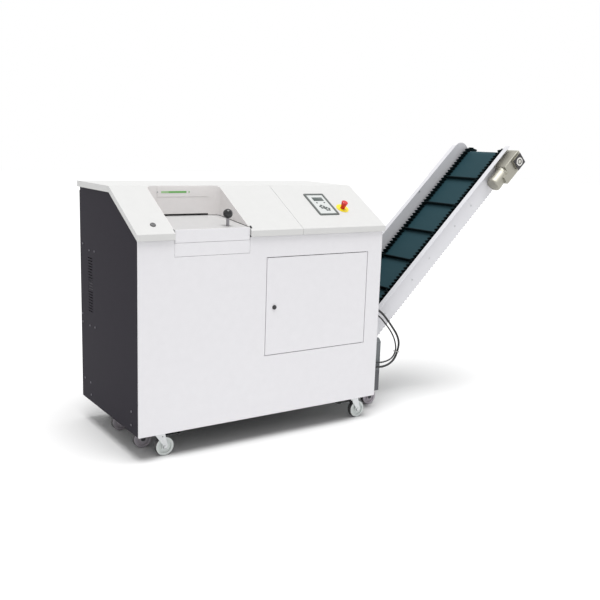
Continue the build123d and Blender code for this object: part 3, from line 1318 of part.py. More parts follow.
# Endless belt with sidewalls and cleats
belt_out = DRUM_RADIUS + BELT_THICKNESS
wall_out = belt_out + SIDEWALL_HEIGHT
with BuildPart() as conveyor_belt:
    extrude(loop_face(BELT_Y[1], belt_out), amount=BELT_WIDTH)
    for wall_y in (BELT_Y[0] + SIDEWALL_THICKNESS, BELT_Y[1]):
        extrude(loop_face(wall_y, wall_out), amount=SIDEWALL_THICKNESS)
    extrude(loop_face(BELT_Y[1], DRUM_RADIUS), amount=BELT_WIDTH, mode=Mode.SUBTRACT)
    cleat_depth = BELT_WIDTH - 2 * SIDEWALL_THICKNESS
    cleat_start = BELT_Y[1] - SIDEWALL_THICKNESS
    cleat_middle = belt_out + CLEAT_HEIGHT / 2 - SEAT
    incline_count = int((INCLINE_LENGTH - BEND_REACH) / CLEAT_PITCH)
    level_count = int((BEND_PLACE - TAIL_PLACE - BEND_REACH) / CLEAT_PITCH)
    for turn in (1, -1):
        with BuildSketch(incline_plane(cleat_start)) as cleats:
            for number in range(incline_count):
                along = INCLINE_LENGTH - (number + 1) * CLEAT_PITCH
                with Locations((along, turn * cleat_middle)):
                    Rectangle(CLEAT_THICKNESS, CLEAT_HEIGHT)
        extrude(cleats.sketch, amount=cleat_depth)
        with BuildSketch(upright(cleat_start)) as cleats:
            for number in range(level_count):
                place = BEND_X - BEND_REACH - (number + 1 / 2) * CLEAT_PITCH
                with Locations((place, RUN_Z + turn * cleat_middle)):
                    Rectangle(CLEAT_THICKNESS, CLEAT_HEIGHT)
        extrude(cleats.sketch, amount=cleat_depth)
finish(conveyor_belt.part, "conveyor_belt")

# Head and tail drums and the roller at the bend, with their shafts
drum_y = (BELT_Y[0] - DRUM_END_GAP, BELT_Y[1] + DRUM_END_GAP)
bearing_far = FAR_Y + PLATE_SHEET + BEARING_BLOCK_DEPTH
bearing_near = NEAR_Y - BEARING_BLOCK_DEPTH
housing_y = (FRONT + HOUSING_FRONT_GAP, NEAR_Y)


def roller(axis_centre, radius, shaft_radius, shaft_y):
    """Drum or roller between the side plates, on its shaft."""
    with BuildPart() as drum:
        disc(upright(drum_y[1]), axis_centre, radius - FIT, drum_y[1] - drum_y[0])
        chamfer(drum.edges().filter_by(GeomType.CIRCLE), SHEET / 2)
        disc(upright(shaft_y[1]), axis_centre, shaft_radius, shaft_y[1] - shaft_y[0])
    return drum.part


head_shaft_y = (housing_y[0] + HOUSING_COVER_DEPTH, bearing_far + SEAM)
finish(roller(head_axis, DRUM_RADIUS, DRUM_SHAFT_RADIUS, head_shaft_y), "head_drum")
tail_shaft_y = (bearing_near - SEAM, bearing_far + SEAM)
finish(roller(tail_axis, DRUM_RADIUS, DRUM_SHAFT_RADIUS, tail_shaft_y), "tail_drum")
bend_shaft_y = (NEAR_Y, FAR_Y + PLATE_SHEET)
finish(roller(roller_axis, BEND_ROLLER_RADIUS, ROLLER_SHAFT_RADIUS, bend_shaft_y), "bend_roller")

# Flange bearings outside the plates
bearing_places = (
    (incline_plane(bearing_far), (INCLINE_LENGTH, 0)),
    (upright(bearing_far), tail_axis),
    (upright(NEAR_Y), tail_axis),
)
blocks = []
for plane, centre in bearing_places:
    with BuildPart() as bearing:
        with BuildSketch(plane) as flange:
            with Locations(centre):
                RectangleRounded(BEARING_BLOCK, BEARING_BLOCK, BEARING_BLOCK_CORNER)
                Circle(DRUM_SHAFT_RADIUS + RUNNING_GAP, mode=Mode.SUBTRACT)
        extrude(flange.sketch, amount=BEARING_BLOCK_DEPTH / 2)
        with BuildSketch(plane) as boss:
            with Locations(centre):
                Circle(BEARING_BLOCK * BEARING_BOSS_SHARE)
                Circle(DRUM_SHAFT_RADIUS + RUNNING_GAP, mode=Mode.SUBTRACT)
        extrude(boss.sketch, amount=BEARING_BLOCK_DEPTH)
    if plane is not bearing_places[2][0]:
        turned = mirror(bearing.part, Plane.XZ.offset(-(bearing_far - BEARING_BLOCK_DEPTH / 2)))
        blocks.append(turned)
    else:
        blocks.append(bearing.part)
finish(Compound(blocks), "conveyor_bearings")

# Gearmotor on the near plate: bevel housing, output cover and a motor along the plate
with BuildPart() as conveyor_gearmotor:
    with BuildSketch(incline_plane(housing_y[1])) as body:
        tail_end = INCLINE_LENGTH - HOUSING_TAIL
        middle = (tail_end + INCLINE_LENGTH + HOUSING_HALF) / 2
        with Locations((middle, 0)):
            RectangleRounded(HOUSING_TAIL + HOUSING_HALF, 2 * HOUSING_HALF, HOUSING_CORNER)
    extrude(body.sketch, amount=housing_y[1] - housing_y[0])
    fillet(conveyor_gearmotor.faces().sort_by(Axis.Y)[0].edges(), HOUSING_EDGE)
    cover_plane = incline_plane(housing_y[0])
    with BuildSketch(cover_plane) as cover:
        with Locations((INCLINE_LENGTH, 0)):
            RectangleRounded(HOUSING_COVER, HOUSING_COVER, HOUSING_CORNER)
    extrude(cover.sketch, amount=HOUSING_COVER_DEPTH)
    for ring_radius, ring_depth in (
        (HOUSING_RING_OUTER, HOUSING_COVER_DEPTH + SHEET),
        (HOUSING_RING_INNER, HOUSING_COVER_DEPTH + 2 * SHEET),
    ):
        disc(cover_plane, (INCLINE_LENGTH, 0), ring_radius, ring_depth)
    # Motor along the plate
    motor_y = (housing_y[0] + housing_y[1]) / 2 - DRIVE_MOTOR_SET_BACK
    end_x, end_z = incline(tail_end + HOUSING_CORNER, 0)
    motor_plane = Plane((end_x, motor_y, end_z), z_dir=(-cos(SLOPE), 0, -sin(SLOPE)))
    motor_reach = DRIVE_MOTOR_LENGTH + HOUSING_CORNER
    disc(motor_plane, (0, 0), DRIVE_MOTOR_RADIUS - DRIVE_MOTOR_INSET, motor_reach)
    collar = DRIVE_MOTOR_RADIUS - DRIVE_MOTOR_INSET / 2
    disc(motor_plane, (0, 0), collar, HOUSING_CORNER + DRIVE_MOTOR_NECK / 2)
    disc(motor_plane.offset(motor_reach - DRIVE_MOTOR_NECK), (0, 0), collar, DRIVE_MOTOR_NECK)
    along_motor = Axis(motor_plane.origin, motor_plane.z_dir)
    motor_rim = conveyor_gearmotor.edges().filter_by(GeomType.CIRCLE).sort_by(along_motor)[-1]
    fillet(motor_rim, MOTOR_RIM)
    # Terminal box of the motor, on its lower front
    with BuildSketch(incline_plane(motor_y - DRIVE_MOTOR_RADIUS / 2)) as terminal:
        with Locations((tail_end - DRIVE_BOX_SIZE / 2 - SHEET, -DRIVE_MOTOR_RADIUS / 4)):
            RectangleRounded(DRIVE_BOX_SIZE, DRIVE_BOX_SIZE, DRIVE_BOX_CORNER)
    extrude(terminal.sketch, amount=DRIVE_BOX_DEPTH)
    hollow = DRUM_SHAFT_RADIUS + RUNNING_GAP
    bore_depth = housing_y[1] - head_shaft_y[0] + SEAM
    disc(incline_plane(housing_y[1]), (INCLINE_LENGTH, 0), hollow, bore_depth, Mode.SUBTRACT)
finish(conveyor_gearmotor.part, "conveyor_gearmotor")

# Wheels, forks and casters
AXLE_HEIGHT = WHEEL_RADIUS
fork_inner = WHEEL_HUB_WIDTH / 2 + FORK_GAP
fork_outer = fork_inner + FORK_SHEET


def wheel(x, y):
    """Wheel that rolls along X, with its hub and its bore, standing on the floor."""
    with BuildPart() as roll:
        disc(upright(y + WHEEL_WIDTH / 2), (x, AXLE_HEIGHT), WHEEL_RADIUS, WHEEL_WIDTH)
        fillet(roll.edges().filter_by(GeomType.CIRCLE), WHEEL_CORNER)
        # Recess round the hub on both faces
        for face_y, turn in ((y + WHEEL_WIDTH / 2, 1), (y - WHEEL_WIDTH / 2, -1)):
            with BuildSketch(upright(face_y)) as ring:
                with Locations((x, AXLE_HEIGHT)):
                    Circle(WHEEL_RADIUS * WHEEL_RIM_SHARE)
                    Circle(WHEEL_HUB_RADIUS, mode=Mode.SUBTRACT)
            extrude(ring.sketch, amount=turn * WHEEL_DISH, mode=Mode.SUBTRACT)
        disc(upright(y + WHEEL_HUB_WIDTH / 2), (x, AXLE_HEIGHT), WHEEL_HUB_RADIUS, WHEEL_HUB_WIDTH)
        bore = AXLE_RADIUS + RUNNING_GAP
        disc(upright(y + WHEEL_HUB_WIDTH), (x, AXLE_HEIGHT), bore, 2 * WHEEL_HUB_WIDTH, Mode.SUBTRACT)
    return roll.part


def add_fork(x, y, top, trail):
    """Adds a pressed fork under a height, its axle a trail away along X from its middle."""
    axle_x = x + trail
    eye_top = AXLE_HEIGHT + FORK_EYE * FORK_EYE_TOP_SHARE
    eye_bottom = AXLE_HEIGHT - FORK_EYE * FORK_EYE_BOTTOM_SHARE
    foot = FORK_EYE * FORK_FOOT_SHARE
    cheek = [
        (x - FORK_HALF, top),
        (x + FORK_HALF, top),
        (axle_x + FORK_EYE, eye_top),
        (axle_x + foot, eye_bottom),
        (axle_x - foot, eye_bottom),
        (axle_x - FORK_EYE, eye_top),
    ]
    for cheek_y in (y + fork_outer, y - fork_inner):
        prism(upright(cheek_y), cheek, FORK_SHEET)
    block(
        (x - FORK_HALF, x + FORK_HALF),
        (y - fork_outer, y + fork_outer),
        (top - FORK_SHEET, top),
    )
    axle_reach = fork_outer + AXLE_HEAD
    disc(upright(y + axle_reach), (axle_x, AXLE_HEIGHT), AXLE_RADIUS, 2 * axle_reach)
    for head_y in (y + axle_reach, y - fork_outer):
        disc(upright(head_y), (axle_x, AXLE_HEIGHT), AXLE_RADIUS * AXLE_HEAD_SHARE, AXLE_HEAD)


# Trolley: two long beams with cross plates, on four fixed wheels
cross_top = RUN_Z - PLATE_FOOT_DROP
beam_low = BASE - TROLLEY_BEAM_BOTTOM
beam_high = BASE + TROLLEY_BEAM_TOP
beam_left = INNER_LEFT + LEG + SEAT
trolley_wheel_x = (LEFT + TROLLEY_WHEEL_LEFT, RIGHT + TROLLEY_WHEEL_REACH)
trolley_wheel_y = (FRONT + TROLLEY_WHEEL_NEAR, FRONT + TROLLEY_WHEEL_FAR)
with BuildPart() as trolley_frame:
    for beam_y in trolley_wheel_y:
        with BuildSketch(across(beam_left)) as tube:
            with Locations((beam_y, (beam_low + beam_high) / 2)):
                wide, high = TROLLEY_BEAM_WIDTH, beam_high - beam_low
                Rectangle(wide, high)
                Rectangle(wide - 2 * PLATE_SHEET, high - 2 * PLATE_SHEET, mode=Mode.SUBTRACT)
        extrude(tube.sketch, amount=RIGHT + TROLLEY_REACH - beam_left)
    cross_y = (NEAR_Y, FAR_Y + PLATE_SHEET)
    for place in CROSS_PLATE_PLACES:
        plate_x = LEFT + place
        half = CROSS_PLATE_LENGTH / 2
        block((plate_x - half, plate_x + half), cross_y, (beam_high, cross_top))
    for wheel_x in trolley_wheel_x:
        for wheel_y in trolley_wheel_y:
            add_fork(wheel_x, wheel_y, beam_low, 0)
finish(trolley_frame.part, "trolley_frame")
for wheel_x, side in zip(trolley_wheel_x, ("left", "right"), strict=True):
    pair = Compound([wheel(wheel_x, wheel_y) for wheel_y in trolley_wheel_y])
    finish(pair, f"trolley_wheels_{side}")

# Swivel casters under the cabinet's corners
caster_x = (LEFT + CASTER_LEFT, RIGHT - CASTER_RIGHT_INSET)
caster_y = (FRONT + CASTER_FRONT, BACK - CASTER_REAR_INSET)
plate_low = BASE - CASTER_PLATE_SHEET
head_low = plate_low - CASTER_HEAD
fork_top = head_low - CASTER_HEAD_GAP
kingpin_top = plate_low - SEAM
corners = [
    (x, y, f"{row}_{side}")
    for y, row in zip(caster_y, ("front", "rear"), strict=True)
    for x, side in zip(caster_x, ("left", "right"), strict=True)
]
tops = []
for x, y, corner in corners:
    with BuildPart() as caster_plate:
        half = CASTER_PLATE_LENGTH / 2
        half_width = CASTER_PLATE_WIDTH / 2
        block((x - half, x + half), (y - half_width, y + half_width), (plate_low, BASE))
        fillet(caster_plate.edges().filter_by(Axis.Z), WHEEL_CORNER)
        disc(level(head_low), (x, y), CASTER_HEAD_RADIUS, CASTER_HEAD)
        chamfer(caster_plate.edges().group_by(Axis.Z)[0], SHEET)
        hole = KINGPIN_RADIUS + RUNNING_GAP
        disc(level(head_low), (x, y), hole, CASTER_HEAD, Mode.SUBTRACT)
    tops.append(caster_plate.part)
    with BuildPart() as fork:
        add_fork(x, y, fork_top, CASTER_TRAIL)
        disc(level(fork_top - FORK_SHEET), (x, y), KINGPIN_RADIUS, kingpin_top - fork_top + FORK_SHEET)
        turn = PEDAL_TURNS.get(corner)
        if turn:
            pivot_x = x + turn * PEDAL_PIVOT
            pivot_hole = PEDAL_PIN_RADIUS + RUNNING_GAP
            pivot_z = fork_top - PEDAL_DROP
            disc(upright(y + FORK_HALF), (pivot_x, pivot_z), pivot_hole, 2 * FORK_HALF, Mode.SUBTRACT)
    finish(fork.part, f"caster_fork_{corner}")
    finish(wheel(x + CASTER_TRAIL, y), f"caster_wheel_{corner}")
    if turn:
        with BuildPart() as pedal:
            reach = sorted((pivot_x - turn * PEDAL_INNER, pivot_x + turn * PEDAL_LENGTH))
            lever_z = (pivot_z - PEDAL_SHEET / 2, pivot_z + PEDAL_SHEET / 2)
            block(reach, (y - PEDAL_WIDTH / 2, y + PEDAL_WIDTH / 2), lever_z)
            fillet(pedal.edges().filter_by(Axis.Z), WHEEL_CORNER)
            disc(upright(y + fork_outer), (pivot_x, pivot_z), PEDAL_PIN_RADIUS, 2 * fork_outer)
        finish(pedal.part, f"brake_pedal_{corner}")
finish(Compound(tops), "caster_plates")

# Terminal box on the right sheet
with BuildPart() as terminal_box:
    block(
        (RIGHT, RIGHT + BOX_REACH),
        (FRONT + BOX_FRONT, FRONT + BOX_FRONT + BOX_DEPTH),
        (BASE + BOX_BOTTOM, BASE + BOX_TOP),
    )
    upper = terminal_box.edges().filter_by(Axis.X).sort_by(Axis.Z)[-2:].sort_by(Axis.Y)[0]
    chamfer(upper, BOX_BEVEL)
    fillet(terminal_box.edges().filter_by(Axis.Z).group_by(Axis.X)[-1], SHEET)
finish(terminal_box.part, "terminal_box")

# Cable glands on the right sheet
with BuildPart() as cable_glands:
    for hole_y, hole_z, cable_radius in cable_holes:
        grow = cable_radius + GLAND_WALL
        with BuildSketch(across(RIGHT)) as nut:
            with Locations((hole_y, hole_z)):
                RegularPolygon(grow + GLAND_COLLAR, 6)
        extrude(nut.sketch, amount=GLAND_NUT)
        disc(across(RIGHT), (hole_y, hole_z), grow, GLAND_LENGTH)
        chamfer(cable_glands.edges().filter_by(GeomType.CIRCLE).group_by(Axis.X)[-1], SHEET)
        hole = cable_radius + SEAM
        disc(across(RIGHT), (hole_y, hole_z), hole, GLAND_LENGTH / 2, Mode.SUBTRACT)
finish(cable_glands.part, "cable_glands")

# Cables in front of the right side: routes as (x, z) from the cabinet's lower right corner
power_route = [
    (24, 500),
    (72, 500),
    (118, 468),
    (160, 424),
    (203, 374),
    (244, 322),
    (265, 268),
    (253, 213),
    (231, 168),
    (190, 141),
    (140, 131),
    (80, 137),
    (24, 137),
]
sensor_route = [
    (24, 471),
    (64, 471),
    (104, 444),
    (150, 398),
    (194, 347),
    (224, 298),
    (239, 250),
    (238, 218),
    (218, 182),
    (180, 165),
    (130, 160),
    (75, 166),
    (24, 166),
]


def cable(route, radius):
    """Cable along a route, with a wide arc at each of its corners."""
    points = [(RIGHT + x, BASE + z) for x, z in route]
    runs = [Vector(*b) - Vector(*a) for a, b in zip(points, points[1:])]
    arcs = []
    for before, after in zip(runs, runs[1:]):
        shorter = min(before.length, after.length)
        half_turn = radians(before.get_angle(after)) / 2
        arcs.append(CABLE_ARC_SHARE * shorter / tan(half_turn))
    with BuildPart() as cord:
        with BuildLine(upright(FRONT + CABLE_PLANE)) as path:
            FilletPolyline(*points, radius=arcs)
        with BuildSketch(across(points[0][0])):
            with Locations((FRONT + CABLE_PLANE, points[0][1])):
                Circle(radius)
        sweep(path=path.line)
    length = sum(edge.length for edge in path.line.edges())
    print(f"Cable of {length:.0f} mm, its tightest arc {min(arcs):.0f} mm")
    return cord.part


finish(cable(power_route, POWER_CABLE_RADIUS), "power_cable")
finish(cable(sensor_route, SENSOR_CABLE_RADIUS), "sensor_cable")

# Door of the front's opening, with its pivot pins
door_x = (LEFT + DOOR_LEFT, LEFT + DOOR_RIGHT)
door_z = (BASE + DOOR_BOTTOM, BASE + DOOR_TOP)
latch_centre = (LEFT + DOOR_LEFT + LATCH_INSET, BASE + LATCH_HEIGHT)
with BuildPart() as service_door:
    block(door_x, (FRONT, FRONT + EDGE_FOLD), door_z)
    fillet(service_door.edges().filter_by(Axis.Z).group_by(Axis.Y)[0], SHEET / 2)
    block(
        (door_x[0] + SHEET, door_x[1] - SHEET),
        (FRONT + SHEET, FRONT + EDGE_FOLD),
        (door_z[0] + SHEET, door_z[1] - SHEET),
        Mode.SUBTRACT,
    )
    for pin_z in (door_z[0] - DOOR_GAP - SHEET - SEAM, door_z[1] - SHEET):
        pin_length = DOOR_GAP + 2 * SHEET + SEAM
        disc(level(pin_z), pivot, DOOR_PIN_RADIUS, pin_length)
    hole = LATCH_SHANK_RADIUS + SEAT
    disc(upright(FRONT - OVERRUN), latch_centre, hole, -2 * OVERRUN - SHEET, Mode.SUBTRACT)
finish(service_door.part, "service_door")

# Quarter-turn latch of the door, its cam upright and clear of the fold
cam_y = FRONT + EDGE_FOLD + LATCH_CAM_SHEET
with BuildPart() as door_latch:
    disc(upright(FRONT), latch_centre, LATCH_RADIUS, LATCH_PROUD)
    chamfer(door_latch.faces().sort_by(Axis.Y)[0].edges(), SEAM)
    shank = cam_y + LATCH_CAM_SHEET + SEAM - FRONT
    disc(upright(FRONT + shank), latch_centre, LATCH_SHANK_RADIUS, shank)
    with BuildSketch(upright(cam_y + LATCH_CAM_SHEET)) as cam:
        with Locations((latch_centre[0], latch_centre[1] + (LATCH_CAM - LATCH_CAM_WIDTH) / 2)):
            SlotOverall(LATCH_CAM, LATCH_CAM_WIDTH, rotation=90)
    extrude(cam.sketch, amount=LATCH_CAM_SHEET)
finish(door_latch.part, "door_latch")

# Bezel and membrane keypad of the control panel
with BuildPart() as panel_bezel:
    window = (PANEL_WIDTH - 2 * PANEL_FRAME, PANEL_LENGTH - 2 * PANEL_FRAME)
    with BuildSketch(slope_plane) as frame:
        with Locations(panel_centre):
            RectangleRounded(PANEL_WIDTH, PANEL_LENGTH, PANEL_CORNER)
            Rectangle(*window, mode=Mode.SUBTRACT)
    extrude(frame.sketch, amount=PANEL_FRAME_HEIGHT)
    slope_up = Axis(slope_plane.origin, slope_plane.z_dir)
    chamfer(panel_bezel.edges().group_by(slope_up)[-1], SEAM)
finish(panel_bezel.part, "panel_bezel")
with BuildPart() as keypad:
    with BuildSketch(slope_plane.offset(-2 * SHEET)) as face:
        with Locations(panel_centre):
            Rectangle(window[0] - 2 * SEAT, window[1] - 2 * SEAT)
    extrude(face.sketch, amount=3 * SHEET)
finish(keypad.part, "keypad")

# Emergency stop: fixed plate and mushroom button
estop_centre = (ESTOP_PLACE, ESTOP_FROM_EDGE)
with BuildPart() as estop_plate:
    with BuildSketch(slope_plane) as face:
        with Locations(estop_centre):
            Circle(ESTOP_PLATE_RADIUS)
            Circle(ESTOP_NECK_RADIUS + SEAT, mode=Mode.SUBTRACT)
    extrude(face.sketch, amount=ESTOP_PLATE_SHEET)
finish(estop_plate.part, "estop_plate")
with BuildPart() as estop_button:
    cap_low = ESTOP_HEIGHT - ESTOP_CAP
    neck_low = -SHEET - ESTOP_TRAVEL
    disc(slope_plane.offset(neck_low), estop_centre, ESTOP_NECK_RADIUS, cap_low - neck_low)
    with BuildSketch(slope_plane.offset(cap_low)) as cap_foot:
        with Locations(estop_centre):
            Circle(ESTOP_CAP_FOOT_RADIUS)
    with BuildSketch(slope_plane.offset(ESTOP_HEIGHT)) as cap_top:
        with Locations(estop_centre):
            Circle(ESTOP_CAP_RADIUS)
    loft([cap_foot.sketch.face(), cap_top.sketch.face()])
    crown = estop_button.faces().sort_by(slope_up)[-1]
    fillet(crown.edges(), ESTOP_CROWN)
    disc(slope_plane.offset(neck_low), estop_centre, ESTOP_SHANK_RADIUS, -ESTOP_CAP)
finish(estop_button.part, "estop_button")
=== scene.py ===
"""Looks of a cabinet shredder for storage media with its inclined belt conveyor.

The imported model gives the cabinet, the cutting unit, the conveyor and the casters. This script
paints them, adds the small fittings, models the corrugated belt and the cables, and sets up a
plain studio with the camera of the photograph. Lengths are in metres.
"""

import logging
import math
from collections.abc import Callable, Iterable, Iterator
from contextlib import contextmanager
from dataclasses import dataclass, field, replace
from enum import Enum

import bpy
from mathutils import Euler, Matrix, Vector

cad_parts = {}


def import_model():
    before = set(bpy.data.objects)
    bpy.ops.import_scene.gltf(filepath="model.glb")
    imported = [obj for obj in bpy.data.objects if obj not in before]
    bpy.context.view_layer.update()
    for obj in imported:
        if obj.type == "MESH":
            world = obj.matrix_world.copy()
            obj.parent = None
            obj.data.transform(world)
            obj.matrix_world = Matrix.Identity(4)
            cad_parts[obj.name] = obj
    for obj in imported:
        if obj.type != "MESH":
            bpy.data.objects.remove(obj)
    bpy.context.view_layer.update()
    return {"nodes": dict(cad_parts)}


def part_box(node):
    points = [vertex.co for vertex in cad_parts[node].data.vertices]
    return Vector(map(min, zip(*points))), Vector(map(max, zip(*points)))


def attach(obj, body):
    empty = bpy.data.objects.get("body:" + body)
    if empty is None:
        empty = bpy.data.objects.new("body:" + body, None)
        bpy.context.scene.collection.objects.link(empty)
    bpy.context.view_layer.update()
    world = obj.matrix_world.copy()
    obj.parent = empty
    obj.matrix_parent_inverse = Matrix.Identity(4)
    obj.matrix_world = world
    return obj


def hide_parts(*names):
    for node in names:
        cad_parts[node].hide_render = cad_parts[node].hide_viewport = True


log = logging.getLogger("shredder")

MM = 0.001
# Slack for places that are the same
TOUCH = 1e-6
# Least part of a normal along an axis, for a face that looks along it
FACING = 0.9


class Coat(Enum):
    """Kinds of surface that a finish can have."""

    PAINT = "paint"
    METAL = "metal"
    PLASTIC = "plastic"
    RUBBER = "rubber"
    LIT = "lit"


class Side(Enum):
    """Sides of the conveyor's belt across its width."""

    NEAR = -1
    FAR = 1


@dataclass(frozen=True)
class Finish:
    """Finish of one surface: its colour, gloss and fine texture.

    Args:
        name: Name of the material.
        colour: Red, green and blue as an eye sees them, from 0 to 255.
        coat: Kind of surface.
        roughness: Mean roughness of the surface.
        grain: Cycles of the fine texture in a metre.
        relief: Depth of the fine texture, as the bump node's strength.
        mottle: Share by which the colour varies from place to place.
        glow: Strength of the surface's own light.
        sheen: Level of the mirror-like reflection, 0.5 for a plain smooth surface.
        patch_grains: Grains across one patch of the uneven colour.
        bump_depth: Height of the fine texture at full relief.
        gloss_spread: Share by which the roughness varies.
        patch_edges: Levels of the noise between which the colour changes.
        detail: Layers of the noise.
    """

    name: str
    colour: tuple[int, int, int]
    coat: Coat
    roughness: float
    grain: float = 900.0
    relief: float = 0.04
    mottle: float = 0.02
    glow: float = 0.0
    sheen: float = 0.5
    patch_grains: float = 40.0
    bump_depth: float = 0.3 * MM
    gloss_spread: float = 0.08
    patch_edges: tuple[float, float] = (0.3, 0.7)
    detail: float = 3.0

    def linear(self, share: float = 1.0) -> tuple[float, float, float, float]:
        """Return the colour as linear light, made darker by a share."""
        parts = []
        for value in self.colour:
            level = value / 255
            bright = level / 12.92 if level <= 0.04045 else ((level + 0.055) / 1.055) ** 2.4
            parts.append(bright * share)
        return (parts[0], parts[1], parts[2], 1.0)

    def material(self) -> bpy.types.Material:
        """Build the material, or return it if it exists.

        Returns:
            The material of this finish.
        """
        known = bpy.data.materials.get(self.name)
        if known is not None and known.use_nodes and known.get("finish"):
            return known
        made = bpy.data.materials.new(self.name)
        made["finish"] = self.coat.value
        made.use_nodes = True
        tree = made.node_tree
        shader = tree.nodes["Principled BSDF"]
        place = tree.nodes.new("ShaderNodeTexCoord")
        patches = self._noise(tree, place, self.grain / self.patch_grains)
        tree.links.new(self._tint(tree, place, patches), shader.inputs["Base Color"])
        speck = self._noise(tree, place, self.grain)
        if self.relief > 0:
            bump = tree.nodes.new("ShaderNodeBump")
            bump.inputs["Strength"].default_value = self.relief
            bump.inputs["Distance"].default_value = self.bump_depth
            tree.links.new(speck.outputs["Fac"], bump.inputs["Height"])
            tree.links.new(bump.outputs["Normal"], shader.inputs["Normal"])
        spread = tree.nodes.new("ShaderNodeMapRange")
        spread.inputs["To Min"].default_value = self.roughness * (1 - self.gloss_spread)
        spread.inputs["To Max"].default_value = min(1.0, self.roughness * (1 + self.gloss_spread))
        tree.links.new(speck.outputs["Fac"], spread.inputs["Value"])
        tree.links.new(spread.outputs["Result"], shader.inputs["Roughness"])
        shader.inputs["Metallic"].default_value = 1.0 if self.coat is Coat.METAL else 0.0
        shader.inputs["Specular IOR Level"].default_value = self.sheen
        if self.coat is Coat.LIT:
            tree.links.new(self._tint(tree, place, patches), shader.inputs["Emission Color"])
            shader.inputs["Emission Strength"].default_value = self.glow
        return made

    def _tint(
        self, tree: bpy.types.NodeTree, place: bpy.types.Node, patches: bpy.types.Node
    ) -> bpy.types.NodeSocket:
        """Add the surface's colour, a little uneven.

        Args:
            tree: Node tree of the material.
            place: Texture coordinate node; not used here.
            patches: Noise that makes the colour uneven.

        Returns:
            The socket that gives the colour.
        """
        tint = tree.nodes.new("ShaderNodeValToRGB")
        levels = (self.linear(1 - self.mottle), self.linear())
        for stop, edge, level in zip(tint.color_ramp.elements, self.patch_edges, levels):
            stop.position = edge
            stop.color = level
        tree.links.new(patches.outputs["Fac"], tint.inputs["Fac"])
        return tint.outputs["Color"]

    def _noise(
        self, tree: bpy.types.NodeTree, place: bpy.types.Node, scale: float
    ) -> bpy.types.Node:
        """Add a noise texture that reads the object's own coordinates.

        Args:
            tree: Node tree of the material.
            place: Texture coordinate node.
            scale: Cycles in a metre.

        Returns:
            The noise node.
        """
        noise = tree.nodes.new("ShaderNodeTexNoise")
        noise.inputs["Scale"].default_value = scale
        noise.inputs["Detail"].default_value = self.detail
        tree.links.new(place.outputs["Object"], noise.inputs["Vector"])
        return noise


@dataclass(frozen=True)
class SplitFinish(Finish):
    """Finish of two colours that meet at a plane square to one axis.

    Args:
        far_colour: Colour beyond the plane.
        axis: Axis that the plane is square to.
        split: Place of the plane in the object's own coordinates.
    """

    far_colour: tuple[int, int, int] = (0, 0, 0)
    axis: str = "X"
    split: float = 0.0

    def _tint(
        self, tree: bpy.types.NodeTree, place: bpy.types.Node, patches: bpy.types.Node
    ) -> bpy.types.NodeSocket:
        """Add the two colours, each a little uneven."""
        near = super()._tint(tree, place, patches)
        far = replace(self, colour=self.far_colour)
        beyond = Finish._tint(far, tree, place, patches)
        parts = tree.nodes.new("ShaderNodeSeparateXYZ")
        tree.links.new(place.outputs["Object"], parts.inputs["Vector"])
        over = tree.nodes.new("ShaderNodeMath")
        over.operation = "GREATER_THAN"
        over.inputs[1].default_value = self.split
        tree.links.new(parts.outputs[self.axis], over.inputs[0])
        return self._blend(tree, over.outputs["Value"], near, beyond)

    @staticmethod
    def _blend(
        tree: bpy.types.NodeTree,
        share: bpy.types.NodeSocket,
        near: bpy.types.NodeSocket,
        far: bpy.types.NodeSocket,
    ) -> bpy.types.NodeSocket:
        """Mix two colours by a share and return the socket of the mix."""
        mix = tree.nodes.new("ShaderNodeMix")
        mix.data_type = "RGBA"
        tree.links.new(share, mix.inputs[0])
        tree.links.new(near, mix.inputs[6])
        tree.links.new(far, mix.inputs[7])
        return mix.outputs[2]


@dataclass(frozen=True)
class WheelFinish(Finish):
    """Finish of a round piece in three rings, such as a wheel's hub, dish and tread.

    Args:
        hub_colour: Colour inside the hub's radius.
        tread_colour: Colour outside the tread's radius.
        axle: Axle in the object's own coordinates, as X and Z.
        hub_radius: Radius of the hub.
        tread_radius: Radius where the tread starts.
    """

    hub_colour: tuple[int, int, int] = (120, 122, 124)
    tread_colour: tuple[int, int, int] = (64, 65, 66)
    axle: tuple[float, float] = (0.0, 0.0)
    hub_radius: float = 0.014
    tread_radius: float = 0.0485

    def _tint(
        self, tree: bpy.types.NodeTree, place: bpy.types.Node, patches: bpy.types.Node
    ) -> bpy.types.NodeSocket:
        """Add the three rings of colour round the axle."""
        flat = tree.nodes.new("ShaderNodeVectorMath")
        flat.operation = "MULTIPLY"
        flat.inputs[1].default_value = (1, 0, 1)
        tree.links.new(place.outputs["Object"], flat.inputs[0])
        reach = tree.nodes.new("ShaderNodeVectorMath")
        reach.operation = "DISTANCE"
        reach.inputs[1].default_value = (self.axle[0], 0, self.axle[1])
        tree.links.new(flat.outputs["Vector"], reach.inputs[0])
        colour = Finish._tint(replace(self, colour=self.hub_colour), tree, place, patches)
        for radius, ring in (
            (self.hub_radius, self.colour),
            (self.tread_radius, self.tread_colour),
        ):
            over = tree.nodes.new("ShaderNodeMath")
            over.operation = "GREATER_THAN"
            over.inputs[1].default_value = radius
            tree.links.new(reach.outputs["Value"], over.inputs[0])
            outer = Finish._tint(replace(self, colour=ring), tree, place, patches)
            colour = SplitFinish._blend(tree, over.outputs["Value"], colour, outer)
        return colour


